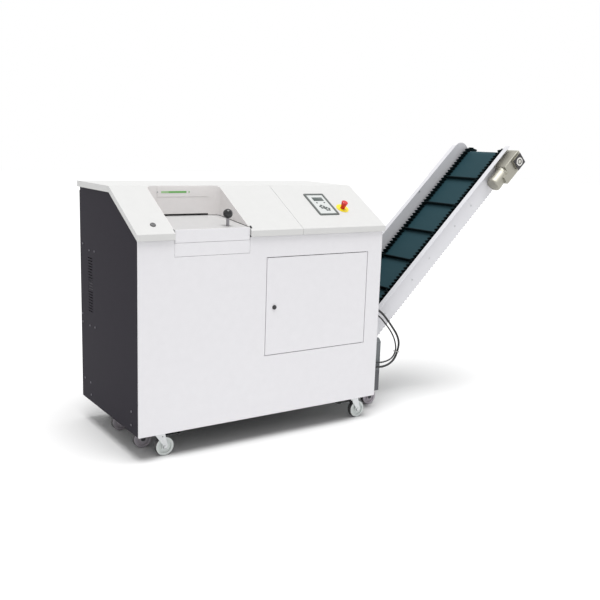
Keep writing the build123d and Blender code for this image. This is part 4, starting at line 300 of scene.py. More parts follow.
WHITE_SHEET = Finish("white_sheet", (229, 228, 231), Coat.PAINT, 0.42, sheen=0.18)
HOOD_SHEET = Finish("hood_sheet", (211, 211, 210), Coat.PAINT, 0.45, sheen=0.18)
DARK_SHEET = Finish("dark_sheet", (41, 38, 46), Coat.PAINT, 0.55, mottle=0.05, sheen=0.05)
FRAME_PAINT = Finish("frame_paint", (70, 70, 73), Coat.PAINT, 0.5, sheen=0.18)
ZINC = Finish("zinc", (205, 207, 208), Coat.METAL, 0.34, grain=300, mottle=0.12)
PLATE_PAINT = Finish("plate_paint", (224, 224, 228), Coat.PAINT, 0.4, sheen=0.18)
LINER_SHEET = Finish("liner_sheet", (234, 231, 230), Coat.PAINT, 0.42, sheen=0.18)
# Feed tray: white at its front edge, and behind it a darker grey that is painted shade of the recess
# under the hood.
TRAY_PAINTED_SHADE = SplitFinish(
    "tray_painted_shade",
    (229, 228, 231),
    Coat.PAINT,
    0.42,
    sheen=0.18,
    far_colour=(194, 193, 193),
    axis="Y",
    split=0.012,
)
CUTTER_STEEL = Finish("cutter_steel", (150, 151, 155), Coat.METAL, 0.3, grain=500)
BELT_FACE = Finish("belt", (30, 62, 70), Coat.RUBBER, 0.65, grain=500, relief=0.1, sheen=0.2)
# Near-black teal of the corrugated walls and the cleats. Part of it is the walls' own dark rubber,
# and part is painted shade in the folds and on the cleats, where it stands for dark shadow lines
# across the belt.
BELT_DARK_RUBBER_AND_SHADE = Finish("belt_wall", (12, 27, 30), Coat.RUBBER, 0.65, grain=400, relief=0.1, sheen=0.1)
STEM_STEEL = Finish("stem_steel", (136, 134, 138), Coat.METAL, 0.4)
DRUM_STEEL = Finish("drum_steel", (168, 170, 172), Coat.METAL, 0.35)
CAST_GREY = Finish("cast_grey", (130, 133, 135), Coat.PAINT, 0.55, relief=0.2)
DRIVE_PAINT = Finish("drive_paint", (168, 166, 156), Coat.METAL, 0.5, grain=260, relief=0.16)
DRIVE_DARK = Finish("drive_dark", (48, 46, 48), Coat.PLASTIC, 0.45)
WHEEL = WheelFinish("wheel", (214, 219, 217), Coat.PLASTIC, 0.5)
# Trolley wheels: dish and tread darker than the casters' wheels. This is painted shade for wheels
# that stand in the machine's shadow, with a slight purple tint against the greenish light round
# them.
TROLLEY_PAINTED_SHADE_WHEEL = WheelFinish(
    "trolley_wheel", (180, 174, 181), Coat.PLASTIC, 0.5, tread_colour=(58, 56, 60)
)
BLACK_PLASTIC = Finish("black_plastic", (36, 37, 39), Coat.PLASTIC, 0.45)
LAMP_GREEN = Finish("lamp_green", (120, 180, 104), Coat.LIT, 0.3, relief=0.0, glow=0.1)
SCREW_GREY = Finish("screw_grey", (112, 111, 118), Coat.PAINT, 0.5, sheen=0.3)
LOCK_GREY = Finish("lock_grey", (98, 98, 99), Coat.PLASTIC, 0.35)
BEZEL_GREY = Finish("bezel_grey", (88, 93, 91), Coat.PLASTIC, 0.45)
BLACK_GLOSS = Finish("black_gloss", (22, 22, 24), Coat.PLASTIC, 0.12, relief=0.0)
RED_PLASTIC = Finish("red_plastic", (205, 24, 28), Coat.PLASTIC, 0.25, relief=0.0)
YELLOW_PLASTIC = Finish("yellow_plastic", (245, 224, 36), Coat.PLASTIC, 0.4)
LIGHT_BAR = SplitFinish(
    "light_bar",
    (150, 190, 136),
    Coat.LIT,
    0.3,
    relief=0.0,
    glow=0.12,
    far_colour=(100, 166, 84),
    split=0.3,
)
BOX_PAINT = SplitFinish(
    "box_paint", (86, 86, 91), Coat.PAINT, 0.5, far_colour=(110, 114, 117), axis="Z", split=0.4
)
CABLE_BLACK = Finish("cable_black", (26, 26, 28), Coat.RUBBER, 0.4, relief=0.02)
KEYPAD_FILM = Finish("keypad", (208, 211, 210), Coat.PLASTIC, 0.4, relief=0.0, sheen=0.2)
KEY_GREY = Finish("key_grey", (92, 97, 96), Coat.PLASTIC, 0.5, sheen=0.2)
DISPLAY_GLASS = Finish("display_glass", (74, 84, 82), Coat.PLASTIC, 0.1, relief=0.0)
PRINT_GREY = Finish("print_grey", (176, 180, 180), Coat.PLASTIC, 0.5)
FLANGE_RINGS = WheelFinish(
    "flange_rings",
    (58, 58, 60),
    Coat.PAINT,
    0.4,
    hub_colour=(214, 213, 205),
    tread_colour=(226, 225, 220),
    hub_radius=0.0115,
    tread_radius=0.0180,
)
GLAND = Finish("gland", (60, 61, 64), Coat.PLASTIC, 0.5)
TIE_PLASTIC = Finish("tie_plastic", (170, 170, 168), Coat.PLASTIC, 0.4)


class Workshop:
    """Modelling steps that every sub-assembly uses."""

    @staticmethod
    def clear() -> None:
        """Leave edit mode and deselect everything."""
        if bpy.context.object is not None and bpy.context.object.mode != "OBJECT":
            bpy.ops.object.mode_set(mode="OBJECT")
        bpy.ops.object.select_all(action="DESELECT")

    @staticmethod
    @contextmanager
    def editing() -> Iterator[None]:
        """Work on the active piece in edit mode, and leave it again."""
        bpy.ops.object.mode_set(mode="EDIT")
        yield
        bpy.ops.object.mode_set(mode="OBJECT")

    @staticmethod
    def settle(piece: bpy.types.Object) -> None:
        """Put the piece's place, turn and size into its mesh."""
        Workshop.take(piece)
        bpy.ops.object.transform_apply(location=True, rotation=True, scale=True)

    @staticmethod
    def take(piece: bpy.types.Object) -> None:
        """Select one piece alone and make it active."""
        Workshop.clear()
        piece.select_set(True)
        bpy.context.view_layer.objects.active = piece

    @staticmethod
    def block(name: str, low: Vector, high: Vector, round_edge: float = 0.0) -> bpy.types.Object:
        """Model a block between two corners, with its edges bevelled.

        Args:
            name: Name of the piece.
            low: Lowest corner.
            high: Highest corner.
            round_edge: Width of the bevel on every edge.

        Returns:
            The block, with its place in its mesh.
        """
        Workshop.clear()
        bpy.ops.mesh.primitive_cube_add(size=1, location=(low + high) / 2)
        piece = bpy.context.object
        piece.name = name
        piece.scale = high - low
        Workshop.settle(piece)
        if round_edge > 0:
            with Workshop.editing():
                bpy.ops.mesh.select_all(action="SELECT")
                bpy.ops.mesh.bevel(offset=round_edge, segments=2, affect="EDGES")
        return piece

    @staticmethod
    def rod(
        name: str,
        start: Vector,
        end: Vector,
        radius: float,
        sides: int = 24,
        round_edge: float = 0.0,
    ) -> bpy.types.Object:
        """Model a round bar between two points.

        Args:
            name: Name of the piece.
            start: Middle of the first end.
            end: Middle of the last end.
            radius: Radius of the bar.
            sides: Number of flats round the bar.
            round_edge: Width of the bevel on both rims.

        Returns:
            The bar, with its place in its mesh.
        """
        Workshop.clear()
        along = end - start
        bpy.ops.mesh.primitive_cylinder_add(
            vertices=sides, radius=radius, depth=along.length, location=(0, 0, 0)
        )
        piece = bpy.context.object
        piece.name = name
        if round_edge > 0:
            half = along.length / 2
            Workshop.pick_faces(piece, lambda face: abs(abs(face.center.z) - half) < TOUCH)
            with Workshop.editing():
                bpy.ops.mesh.region_to_loop()
                bpy.ops.mesh.bevel(offset=round_edge, segments=2, affect="EDGES")
        piece.rotation_euler = along.to_track_quat("Z", "Y").to_euler()
        piece.location = (start + end) / 2
        Workshop.settle(piece)
        return piece

    @staticmethod
    def pick_faces(
        piece: bpy.types.Object, wanted: Callable[[bpy.types.MeshPolygon], bool]
    ) -> None:
        """Select the faces of a piece that pass a test, and no others.

        Args:
            piece: Piece whose faces are picked.
            wanted: Test of one face.
        """
        Workshop.take(piece)
        with Workshop.editing():
            bpy.ops.mesh.select_mode(type="FACE")
            bpy.ops.mesh.select_all(action="DESELECT")
        for face in piece.data.polygons:
            face.select = wanted(face)

    @staticmethod
    def join(name: str, pieces: Iterable[bpy.types.Object]) -> bpy.types.Object:
        """Join pieces of one finish into one object.

        Args:
            name: Name of the joined piece.
            pieces: Pieces to join.

        Returns:
            The joined piece.
        """
        Workshop.clear()
        parts = list(pieces)
        for part in parts:
            part.select_set(True)
        bpy.context.view_layer.objects.active = parts[0]
        if len(parts) > 1:
            bpy.ops.object.join()
        parts[0].name = name
        return parts[0]

    @staticmethod
    def smooth(piece: bpy.types.Object, degrees: float = 35.0) -> None:
        """Shade a piece smooth where its faces meet at less than an angle."""
        Workshop.take(piece)
        bpy.ops.object.shade_smooth_by_angle(angle=math.radians(degrees))

    @staticmethod
    def coat(piece: bpy.types.Object, finish: Finish) -> None:
        """Give a piece one finish all over."""
        piece.data.materials.clear()
        piece.data.materials.append(finish.material())

    @staticmethod
    def own_place(node: bpy.types.Object, point: Vector) -> Vector:
        """Return a point of the model in a node's own coordinates."""
        return node.matrix_world.inverted() @ point

    @staticmethod
    def split_coat(node: bpy.types.Object, name: str, finish: SplitFinish) -> None:
        """Paint a node in two colours that meet at a share of its length.

        Args:
            node: Node of the model.
            name: Name of the node.
            finish: Two colours, with the split as a share from 0 to 1.
        """
        low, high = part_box(name)
        point = Workshop.own_place(node, low + (high - low) * finish.split)
        place = point["XYZ".index(finish.axis)]
        Workshop.coat(node, replace(finish, split=place))

    @staticmethod
    def wheel_coat(node: bpy.types.Object, name: str, finish: WheelFinish) -> None:
        """Paint a wheel in rings round its axle.

        Args:
            node: Node of the model.
            name: Name of the node.
            finish: Colours of the rings.
        """
        low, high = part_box(name)
        axle = Workshop.own_place(node, (low + high) / 2)
        Workshop.coat(node, replace(finish, name=f"{finish.name}_{name}", axle=(axle.x, axle.z)))

    @staticmethod
    def place(piece: bpy.types.Object, finish: Finish, body: str, slot: str) -> bpy.types.Object:
        """Finish a piece and let it ride on a body of the machine.

        Args:
            piece: The finished mesh or curve.
            finish: Its surface.
            body: Body that it moves with.
            slot: Not used.

        Returns:
            The same piece.
        """
        Workshop.coat(piece, finish)
        if piece.type == "MESH":
            Workshop.smooth(piece)
        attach(piece, body)
        log.info("%s rides on %s", piece.name, body)
        return piece


@dataclass(frozen=True)
class Cabinet:
    """Places measured from the cabinet's lower left front corner.

    Args:
        corner: That corner in the model's frame.
        hood_front: Height of the hood's front edge above the corner.
        hood_overhang: How far the hood stands out in front.
        hood_rise: Rise of the hood's slope.
        hood_run: Depth of the hood's slope.
    """

    corner: Vector
    hood_front: float = 1.016
    hood_overhang: float = 0.0125
    hood_rise: float = 0.207
    hood_run: float = 0.3595

    def point(self, x: float, y: float, z: float) -> Vector:
        """Return a point of the machine in the model's frame."""
        return self.corner + Vector((x, y, z))

    def slope_angle(self) -> float:
        """Return the angle of the hood's slope."""
        return math.atan2(self.hood_rise, self.hood_run)

    def on_slope(self, x: float, up: float, out: float) -> Vector:
        """Return a point on the hood's slope.

        Args:
            x: Place along the cabinet.
            up: Distance up the slope from its front edge.
            out: Height above the sheet, square to it.

        Returns:
            The point in the model's frame.
        """
        angle = self.slope_angle()
        y = -self.hood_overhang + up * math.cos(angle) - out * math.sin(angle)
        z = self.hood_front + up * math.sin(angle) + out * math.cos(angle)
        return self.point(x, y, z)

    def slope_turn(self) -> Matrix:
        """Return the turn from the level to the hood's slope."""
        return Matrix.Rotation(self.slope_angle(), 4, "X")


@dataclass
class SheetMetal:
    """The painted sheets of the cabinet and the screws that hold them."""

    cabinet: Cabinet
    screw_radius: float = 0.0055
    screw_height: float = 0.0025
    recess_share: float = 0.5
    left_screws: tuple[tuple[float, float], ...] = (
        (0.662, 0.857),
        (0.584, 0.859),
        (0.667, 0.438),
        (0.588, 0.443),
        (0.760, 0.882),
        (0.781, 0.486),
        (0.778, 0.439),
        (0.758, 0.115),
        (0.669, 0.110),
        (0.663, 0.040),
        (0.091, 0.114),
        (0.093, 0.042),
    )
    finishes: dict[str, Finish] = field(
        default_factory=lambda: {
            "base_frame": FRAME_PAINT,
            "front_panel": WHITE_SHEET,
            "front_strip": WHITE_SHEET,
            "service_door": WHITE_SHEET,
            "left_panel": DARK_SHEET,
            "right_panel": DARK_SHEET,
            "rear_panel": DARK_SHEET,
            "hood_main": HOOD_SHEET,
            "hood_control": HOOD_SHEET,
            "recess_liner": LINER_SHEET,
            "hood_hinges": ZINC,
            "drawer_table": ZINC,
            "feed_hopper": ZINC,
            "door_latch": BLACK_PLASTIC,
            "hood_lock": LOCK_GREY,
            "knob_stem": STEM_STEEL,
            "ball_knob": BLACK_GLOSS,
            "cutter_frame": CAST_GREY,
            "cutter_shaft_front": CUTTER_STEEL,
            "cutter_shaft_rear": CUTTER_STEEL,
            "sync_gear_front": CUTTER_STEEL,
            "sync_gear_rear": CUTTER_STEEL,
            "stripper_combs": ZINC,
            "drive_coupling": CAST_GREY,
            "drive_gearbox": CAST_GREY,
            "drive_motor": DRIVE_PAINT,
            "discharge_chute": ZINC,
        }
    )

    def dress(self, nodes: dict[str, bpy.types.Object]) -> None:
        """Paint the cabinet's nodes."""
        for name, finish in self.finishes.items():
            Workshop.coat(nodes[name], finish)
            log.info("painted %s", name)
        Workshop.split_coat(nodes["led_bar"], "led_bar", LIGHT_BAR)
        # The tray's surface behind its front edge is painted darker as the recess's shade.
        Workshop.split_coat(nodes["feed_drawer"], "feed_drawer", TRAY_PAINTED_SHADE)
        for name in ("ball_knob", "knob_stem", "hood_lock", "door_latch"):
            Workshop.smooth(nodes[name])

    def screw(self, name: str, foot: Vector, out: Vector) -> bpy.types.Object:
        """Model a round screw head with a sunk socket.

        Args:
            name: Name of the piece.
            foot: Point under the middle of the head.
            out: Direction that the head faces.

        Returns:
            The head, with its place in its mesh.
        """
        Workshop.clear()
        bpy.ops.mesh.primitive_cylinder_add(
            vertices=16, radius=self.screw_radius, depth=self.screw_height
        )
        head = bpy.context.object
        half = self.screw_height / 2
        Workshop.pick_faces(head, lambda face: face.center.z > half - TOUCH)
        with Workshop.editing():
            bpy.ops.mesh.inset(thickness=self.screw_radius * (1 - self.recess_share), depth=half / 2)
            bpy.ops.mesh.extrude_region_move(TRANSFORM_OT_translate={"value": (0, 0, -half)})
        head.rotation_euler = out.to_track_quat("Z", "Y").to_euler()
        head.location = foot + out * half
        head.name = name
        Workshop.settle(head)
        return head

    def build(self) -> None:
        """Add the screws of the dark left side."""
        out = Vector((-1, 0, 0))
        heads = [
            self.screw("side_screw", self.cabinet.point(0, y, z), out)
            for y, z in self.left_screws
        ]
        Workshop.place(Workshop.join("side_screws", heads), SCREW_GREY, "cabinet", "zinc")


@dataclass
class FeedRecess:
    """Small pieces of the feed recess: the lamps beside the light bar and a corner stop."""

    cabinet: Cabinet
    plate_y: float = 0.3440
    lamp_height: float = 1.190
    lamp_radius: float = 0.004
    lamp_rise: float = 0.002
    lamp_sides: int = 20
    lamp_places: tuple[float, float] = (0.255, 0.437)
    stop_place: tuple[float, float] = (0.6200, 0.0280)
    stop_size: tuple[float, float, float] = (0.009, 0.016, 0.007)

    def build(self) -> None:
        """Model the lamps and the corner stop."""
        lamps = (("off", PRINT_GREY), ("on", LAMP_GREEN))
        for (state, finish), x in zip(lamps, self.lamp_places, strict=True):
            foot = self.cabinet.point(x, self.plate_y, self.lamp_height)
            tip = foot + Vector((0, -self.lamp_rise, 0))
            lamp = Workshop.rod(
                f"lamp_{state}",
                foot,
                tip,
                self.lamp_radius,
                self.lamp_sides,
                self.lamp_rise / 4,
            )
            Workshop.place(lamp, finish, "hood", "light_bar")
        self.stop()

    def stop(self) -> None:
        """Model the small rubber stop on the slope at the notch's right corner."""
        long, deep, high = self.stop_size
        stop = Workshop.block(
            "corner_stop", Vector((0, -deep / 2, 0)), Vector((long, deep / 2, high)), high / 4
        )
        Workshop.pick_faces(stop, lambda face: face.normal.z > FACING)
        with Workshop.editing():
            bpy.ops.mesh.inset(thickness=high / 5, depth=-high / 6)
        origin = self.cabinet.on_slope(*self.stop_place, 0)
        stop.matrix_world = Matrix.Translation(origin) @ self.cabinet.slope_turn()
        Workshop.settle(stop)
        Workshop.place(stop, BLACK_PLASTIC, "hood", "black_plastic")


@dataclass
class ControlPanel:
    """Keypad with its display, and the emergency stop beside it."""

    cabinet: Cabinet
    left: float = 1.117
    foot: float = 0.116
    width: float = 0.137
    length: float = 0.207
    film_top: float = 0.002
    display: tuple[float, float, float, float] = (0.038, 0.137, 0.106, 0.170)
    mark_radius: float = 0.0055
    petal_radius: float = 0.0072
    ring_radius: float = 0.013
    petals: int = 5
    cap_sides: int = 20
    key_height: float = 0.0012
    marks: tuple[tuple[float, float], ...] = ((0.047, 0.118), (0.099, 0.120))
    rings: tuple[tuple[float, float], ...] = ((0.0606, 0.078), (0.0845, 0.0567))

    def dress(self, nodes: dict[str, bpy.types.Object]) -> None:
        """Paint the panel's nodes."""
        for name, finish in (
            ("panel_bezel", BEZEL_GREY),
            ("keypad", KEYPAD_FILM),
            ("estop_plate", YELLOW_PLASTIC),
            ("estop_button", RED_PLASTIC),
        ):
            Workshop.coat(nodes[name], finish)
            Workshop.smooth(nodes[name])

    def tile(self, name: str, corners: tuple[float, ...], height: float) -> bpy.types.Object:
        """Model a low block on the film, between two corners of the panel.

        Args:
            name: Name of the piece.
            corners: Left, lower, right and upper edges, measured from the panel's corner.
            height: How far it stands above the film.

        Returns:
            The block, lying on the film.
        """
        left, lower, right, upper = corners
        piece = Workshop.block(
            name, Vector((left, lower, 0)), Vector((right, upper, height)), height / 3
        )
        origin = self.cabinet.on_slope(self.left, self.foot, self.film_top)
        piece.matrix_world = Matrix.Translation(origin) @ self.cabinet.slope_turn()
        Workshop.settle(piece)
        return piece

    def build(self) -> None:
        """Model the display and the keys."""
        display = self.tile("display", self.display, 1.5 * self.key_height)
        Workshop.place(display, DISPLAY_GLASS, "cabinet", "keypad")
        origin = self.cabinet.on_slope(self.left, self.foot, self.film_top)
        turn = Matrix.Translation(origin) @ self.cabinet.slope_turn()
        spots = [(x, y, self.mark_radius) for x, y in self.marks]
        for x, y in self.rings:
            for number in range(self.petals):
                way = math.pi / 2 + 2 * math.pi * number / self.petals
                petal_x = x + self.ring_radius * math.cos(way)
                petal_y = y + self.ring_radius * math.sin(way)
                spots.append((petal_x, petal_y, self.petal_radius))
        caps = []
        for x, y, radius in spots:
            foot = turn @ Vector((x, y, 0))
            top = turn @ Vector((x, y, self.key_height))
            cap = Workshop.rod("key", foot, top, radius, self.cap_sides, self.key_height / 3)
            caps.append(cap)
        Workshop.place(Workshop.join("keys", caps), KEY_GREY, "cabinet", "keypad")


@dataclass
class BeltPath:
    """Path of the conveyor belt: level run, bend, incline and the two drums.

    Args:
        cabinet: Cabinet that gives the places.
        slope: Angle of the incline.
        bend_x: Place of the bend along the machine.
        run_z: Height of the belt's middle line on the level run.
        incline: Length of the incline.
        tail_x: Place of the tail drum.
        bend_radius: Radius of the middle line at the bend.
        step: Angle between two points of an arc.
        weld: Distance under which two vertices become one.
    """

    cabinet: Cabinet
    slope: float = math.radians(44.06)
    bend_x: float = 1.373
    run_z: float = 0.112
    incline: float = 1.839
    tail_x: float = 0.150
    bend_radius: float = 0.160
    step: float = math.radians(5)
    weld: float = 0.4 * MM

    def up(self, along: float, out: float) -> tuple[float, float]:
        """Return a point up the incline, as x and z from the cabinet's corner."""
        x = self.bend_x + along * math.cos(self.slope) - out * math.sin(self.slope)
        z = self.run_z + along * math.sin(self.slope) + out * math.cos(self.slope)
        return x, z

    def arc(
        self, centre: tuple[float, float], radius: float, start: float, end: float
    ) -> list[tuple[float, float]]:
        """Return points along an arc, angles counted from the X axis.

        Args:
            centre: Middle of the arc.
            radius: Radius of the arc.
            start: First angle.
            end: Last angle.

        Returns:
            Points in order, both ends included.
        """
        count = max(2, round(abs(end - start) / self.step))
        turns = [start + (end - start) * number / count for number in range(count + 1)]
        return [
            (centre[0] + radius * math.cos(turn), centre[1] + radius * math.sin(turn))
            for turn in turns
        ]

    def loop(self, out: float) -> list[tuple[float, float]]:
        """Return the closed path at a distance outside the middle line."""
        reach = self.bend_radius * math.tan(self.slope / 2)
        bend = (self.bend_x - reach, self.run_z + self.bend_radius)
        quarter = math.pi / 2
        top_bend = self.arc(bend, self.bend_radius - out, -quarter, self.slope - quarter)
        head = self.arc(self.up(self.incline, 0), out, self.slope + quarter, self.slope - quarter)
        low_bend = self.arc(bend, self.bend_radius + out, self.slope - quarter, -quarter)
        tail = self.arc((self.tail_x, self.run_z), out, -quarter, -3 * quarter)
        return [*top_bend, *head, *low_bend, *tail]

    def length(self, out: float) -> float:
        """Return the length of the closed path at a distance outside the middle line."""
        points = self.loop(out)
        closed = [*points, points[0]]
        return sum(math.dist(a, b) for a, b in zip(closed, closed[1:]))

    def guide(self, out: float) -> bpy.types.Object:
        """Make the closed path a flat curve that meshes are bent along."""
        data = bpy.data.curves.new("belt_guide", "CURVE")
        data.dimensions = "2D"
        line = data.splines.new("POLY")
        points = self.loop(out)
        line.points.add(len(points) - 1)
        for spot, (x, z) in zip(line.points, points, strict=True):
            spot.co = (x, z, 0, 1)
        line.use_cyclic_u = True
        guide = bpy.data.objects.new("belt_guide", data)
        bpy.context.scene.collection.objects.link(guide)
        return guide

    def wrap(self, piece: bpy.types.Object, out: float, y: float) -> None:
        """Bend a straight strip round the path and stand it at its depth.

        Args:
            piece: Strip along X, with Y away from the belt and Z towards the front.
            out: Distance of the strip's foot outside the middle line.
            y: Depth of the strip's middle in the cabinet.
        """
        guide = self.guide(out)
        Workshop.take(piece)
        bend = piece.modifiers.new("bend", "CURVE")
        bend.object = guide
        bend.deform_axis = "POS_X"
        for modifier in list(piece.modifiers):
            bpy.ops.object.modifier_apply(modifier=modifier.name)
        bpy.data.objects.remove(guide)
        stand = Matrix.Rotation(math.pi / 2, 4, "X")
        piece.matrix_world = Matrix.Translation(self.cabinet.point(0, y, 0)) @ stand
        Workshop.settle(piece)
        with Workshop.editing():
            bpy.ops.mesh.select_all(action="SELECT")
            bpy.ops.mesh.remove_doubles(threshold=self.weld)
            bpy.ops.mesh.normals_make_consistent(inside=False)


@dataclass
class ConveyorBelt:
    """Belt with corrugated side walls and cleats."""

    path: BeltPath
    drum: float = 0.050
    thickness: float = 0.004
    front: float = 0.205
    width: float = 0.330
    wall_height: float = 0.026
    wall_sheet: float = 0.0030
    wall_inset: float = 0.0155
    wave_pitch: float = 0.026
    wave_depth: float = 0.0125
    wave_steps: int = 8
    column_reach: float = 0.1 * MM
    cleat_pitch: float = 0.245
    cleat_thickness: float = 0.006
    cleat_height: float = 0.022
    cleat_bevel: float = 0.0012
    cleat_overlap: float = 0.002
    bend_reach: float = 0.0647

    def band(self) -> bpy.types.Object:
        """Model the flat band round the drums."""
        length = self.path.length(self.drum)
        Workshop.clear()
        bpy.ops.mesh.primitive_cube_add(size=1, location=(0.5, 0.5, 0))
        band = bpy.context.object
        band.name = "belt_band"
        band.scale = (length, self.thickness, self.width)
        band.location = (length / 2, self.thickness / 2, 0)
        Workshop.settle(band)
        Workshop.pick_faces(band, lambda face: abs(face.normal.x) > FACING)
        with Workshop.editing():
            bpy.ops.mesh.delete(type="ONLY_FACE")
        self.slice(band, length, round(length / (4 * self.wave_pitch)) * 8)
        middle = self.front + self.width / 2
        self.path.wrap(band, self.drum, middle)
        return band

    @staticmethod
    def slice(piece: bpy.types.Object, length: float, parts: int) -> None:
        """Cut a strip square to its length into equal parts.

        Args:
            piece: Strip along X from 0.
            length: Its length.
            parts: Number of parts.
        """
        Workshop.take(piece)
        with Workshop.editing():
            for number in range(1, parts):
                bpy.ops.mesh.select_all(action="SELECT")
                bpy.ops.mesh.bisect(plane_co=(length * number / parts, 0, 0), plane_no=(1, 0, 0))

    def wall(self, side: Side) -> bpy.types.Object:
        """Model one corrugated wall round the belt.

        Args:
            side: Edge of the belt that the wall stands on.

        Returns:
            The wall, with its place in its mesh.
        """
        foot = self.drum + self.thickness
        length = self.path.length(foot)
        count = round(length / self.wave_pitch)
        pitch = length / count
        Workshop.clear()
        bpy.ops.mesh.primitive_grid_add(
            x_subdivisions=self.wave_steps,
            y_subdivisions=1,
            size=1,
            location=(0, 0, 0),
        )
        wave = bpy.context.object
        wave.name = f"belt_wall_{side.name.lower()}"
        wave.scale = (pitch, self.wall_height, 1)
        wave.location = (pitch / 2, self.wall_height / 2, 0)
        Workshop.settle(wave)
        for number in range(1, self.wave_steps):
            self.lift_column(wave, pitch * number / self.wave_steps, number)
        row = wave.modifiers.new("row", "ARRAY")
        row.count = count
        row.use_relative_offset = False
        row.use_constant_offset = True
        row.constant_offset_displace = (pitch, 0, 0)
        row.use_merge_vertices = True
        row.merge_threshold = self.column_reach
        sheet = wave.modifiers.new("sheet", "SOLIDIFY")
        sheet.thickness = self.wall_sheet
        sheet.offset = 0
        edge = self.width / 2 - self.wall_inset
        middle = self.front + self.width / 2 + side.value * edge
        self.path.wrap(wave, foot, middle)
        return wave

    def lift_column(self, wave: bpy.types.Object, place: float, number: int) -> None:
        """Move one column of a wave's vertices sideways.

        Args:
            wave: One pitch of the wall, flat.
            place: The column's place along it.
            number: The column's number.
        """
        Workshop.take(wave)
        with Workshop.editing():
            bpy.ops.mesh.select_mode(type="VERT")
            bpy.ops.mesh.select_all(action="DESELECT")
        for vertex in wave.data.vertices:
            vertex.select = abs(vertex.co.x - place) < self.column_reach
        with Workshop.editing():
            swing = self.wave_depth * math.sin(2 * math.pi * number / self.wave_steps)
            bpy.ops.transform.translate(value=(0, 0, swing))

    def cleat(self, x: float, z: float, turn: float) -> bpy.types.Object:
        """Model one cleat across the belt.

        Args:
            x: Place of its middle along the machine.
            z: Height of its middle.
            turn: Angle of the run that it stands on.

        Returns:
            The cleat, with its place in its mesh.
        """
        inset = self.wall_inset + self.wave_depth - self.cleat_overlap
        reach = self.width / 2 - inset
        half = Vector((self.cleat_thickness / 2, reach, self.cleat_height / 2))
        piece = Workshop.block("cleat", -half, half, self.cleat_bevel)
        middle = self.front + self.width / 2
        place = Matrix.Translation(self.path.cabinet.point(x, middle, z))
        piece.matrix_world = place @ Matrix.Rotation(-turn, 4, "Y")
        Workshop.settle(piece)
        return piece

    def cleats(self) -> bpy.types.Object:
        """Model the cleats of both runs."""
        path = self.path
        out = self.drum + self.thickness + self.cleat_height / 2
        pieces = []
        on_incline = int((path.incline - self.bend_reach) / self.cleat_pitch)
        on_level = int((path.bend_x - path.tail_x - self.bend_reach) / self.cleat_pitch)
        for turn in (1, -1):
            for number in range(on_incline):
                x, z = path.up(path.incline - (number + 1) * self.cleat_pitch, turn * out)
                pieces.append(self.cleat(x, z, path.slope))
            for number in range(on_level):
                x = path.bend_x - self.bend_reach - (number + 0.5) * self.cleat_pitch
                pieces.append(self.cleat(x, path.run_z + turn * out, 0))
        return Workshop.join("belt_cleats", pieces)

    def build(self) -> None:
        """Model the belt and let it stand for the plain one."""
        band = Workshop.place(self.band(), BELT_FACE, "cabinet", "belt")
        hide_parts("conveyor_belt")
        # The cleats and walls take the near-black rubber; on the cleats its darkness is painted
        # shade.
        Workshop.place(self.cleats(), BELT_DARK_RUBBER_AND_SHADE, "cabinet", "belt")
        for side in Side:
            Workshop.place(self.wall(side), BELT_DARK_RUBBER_AND_SHADE, "cabinet", "belt")


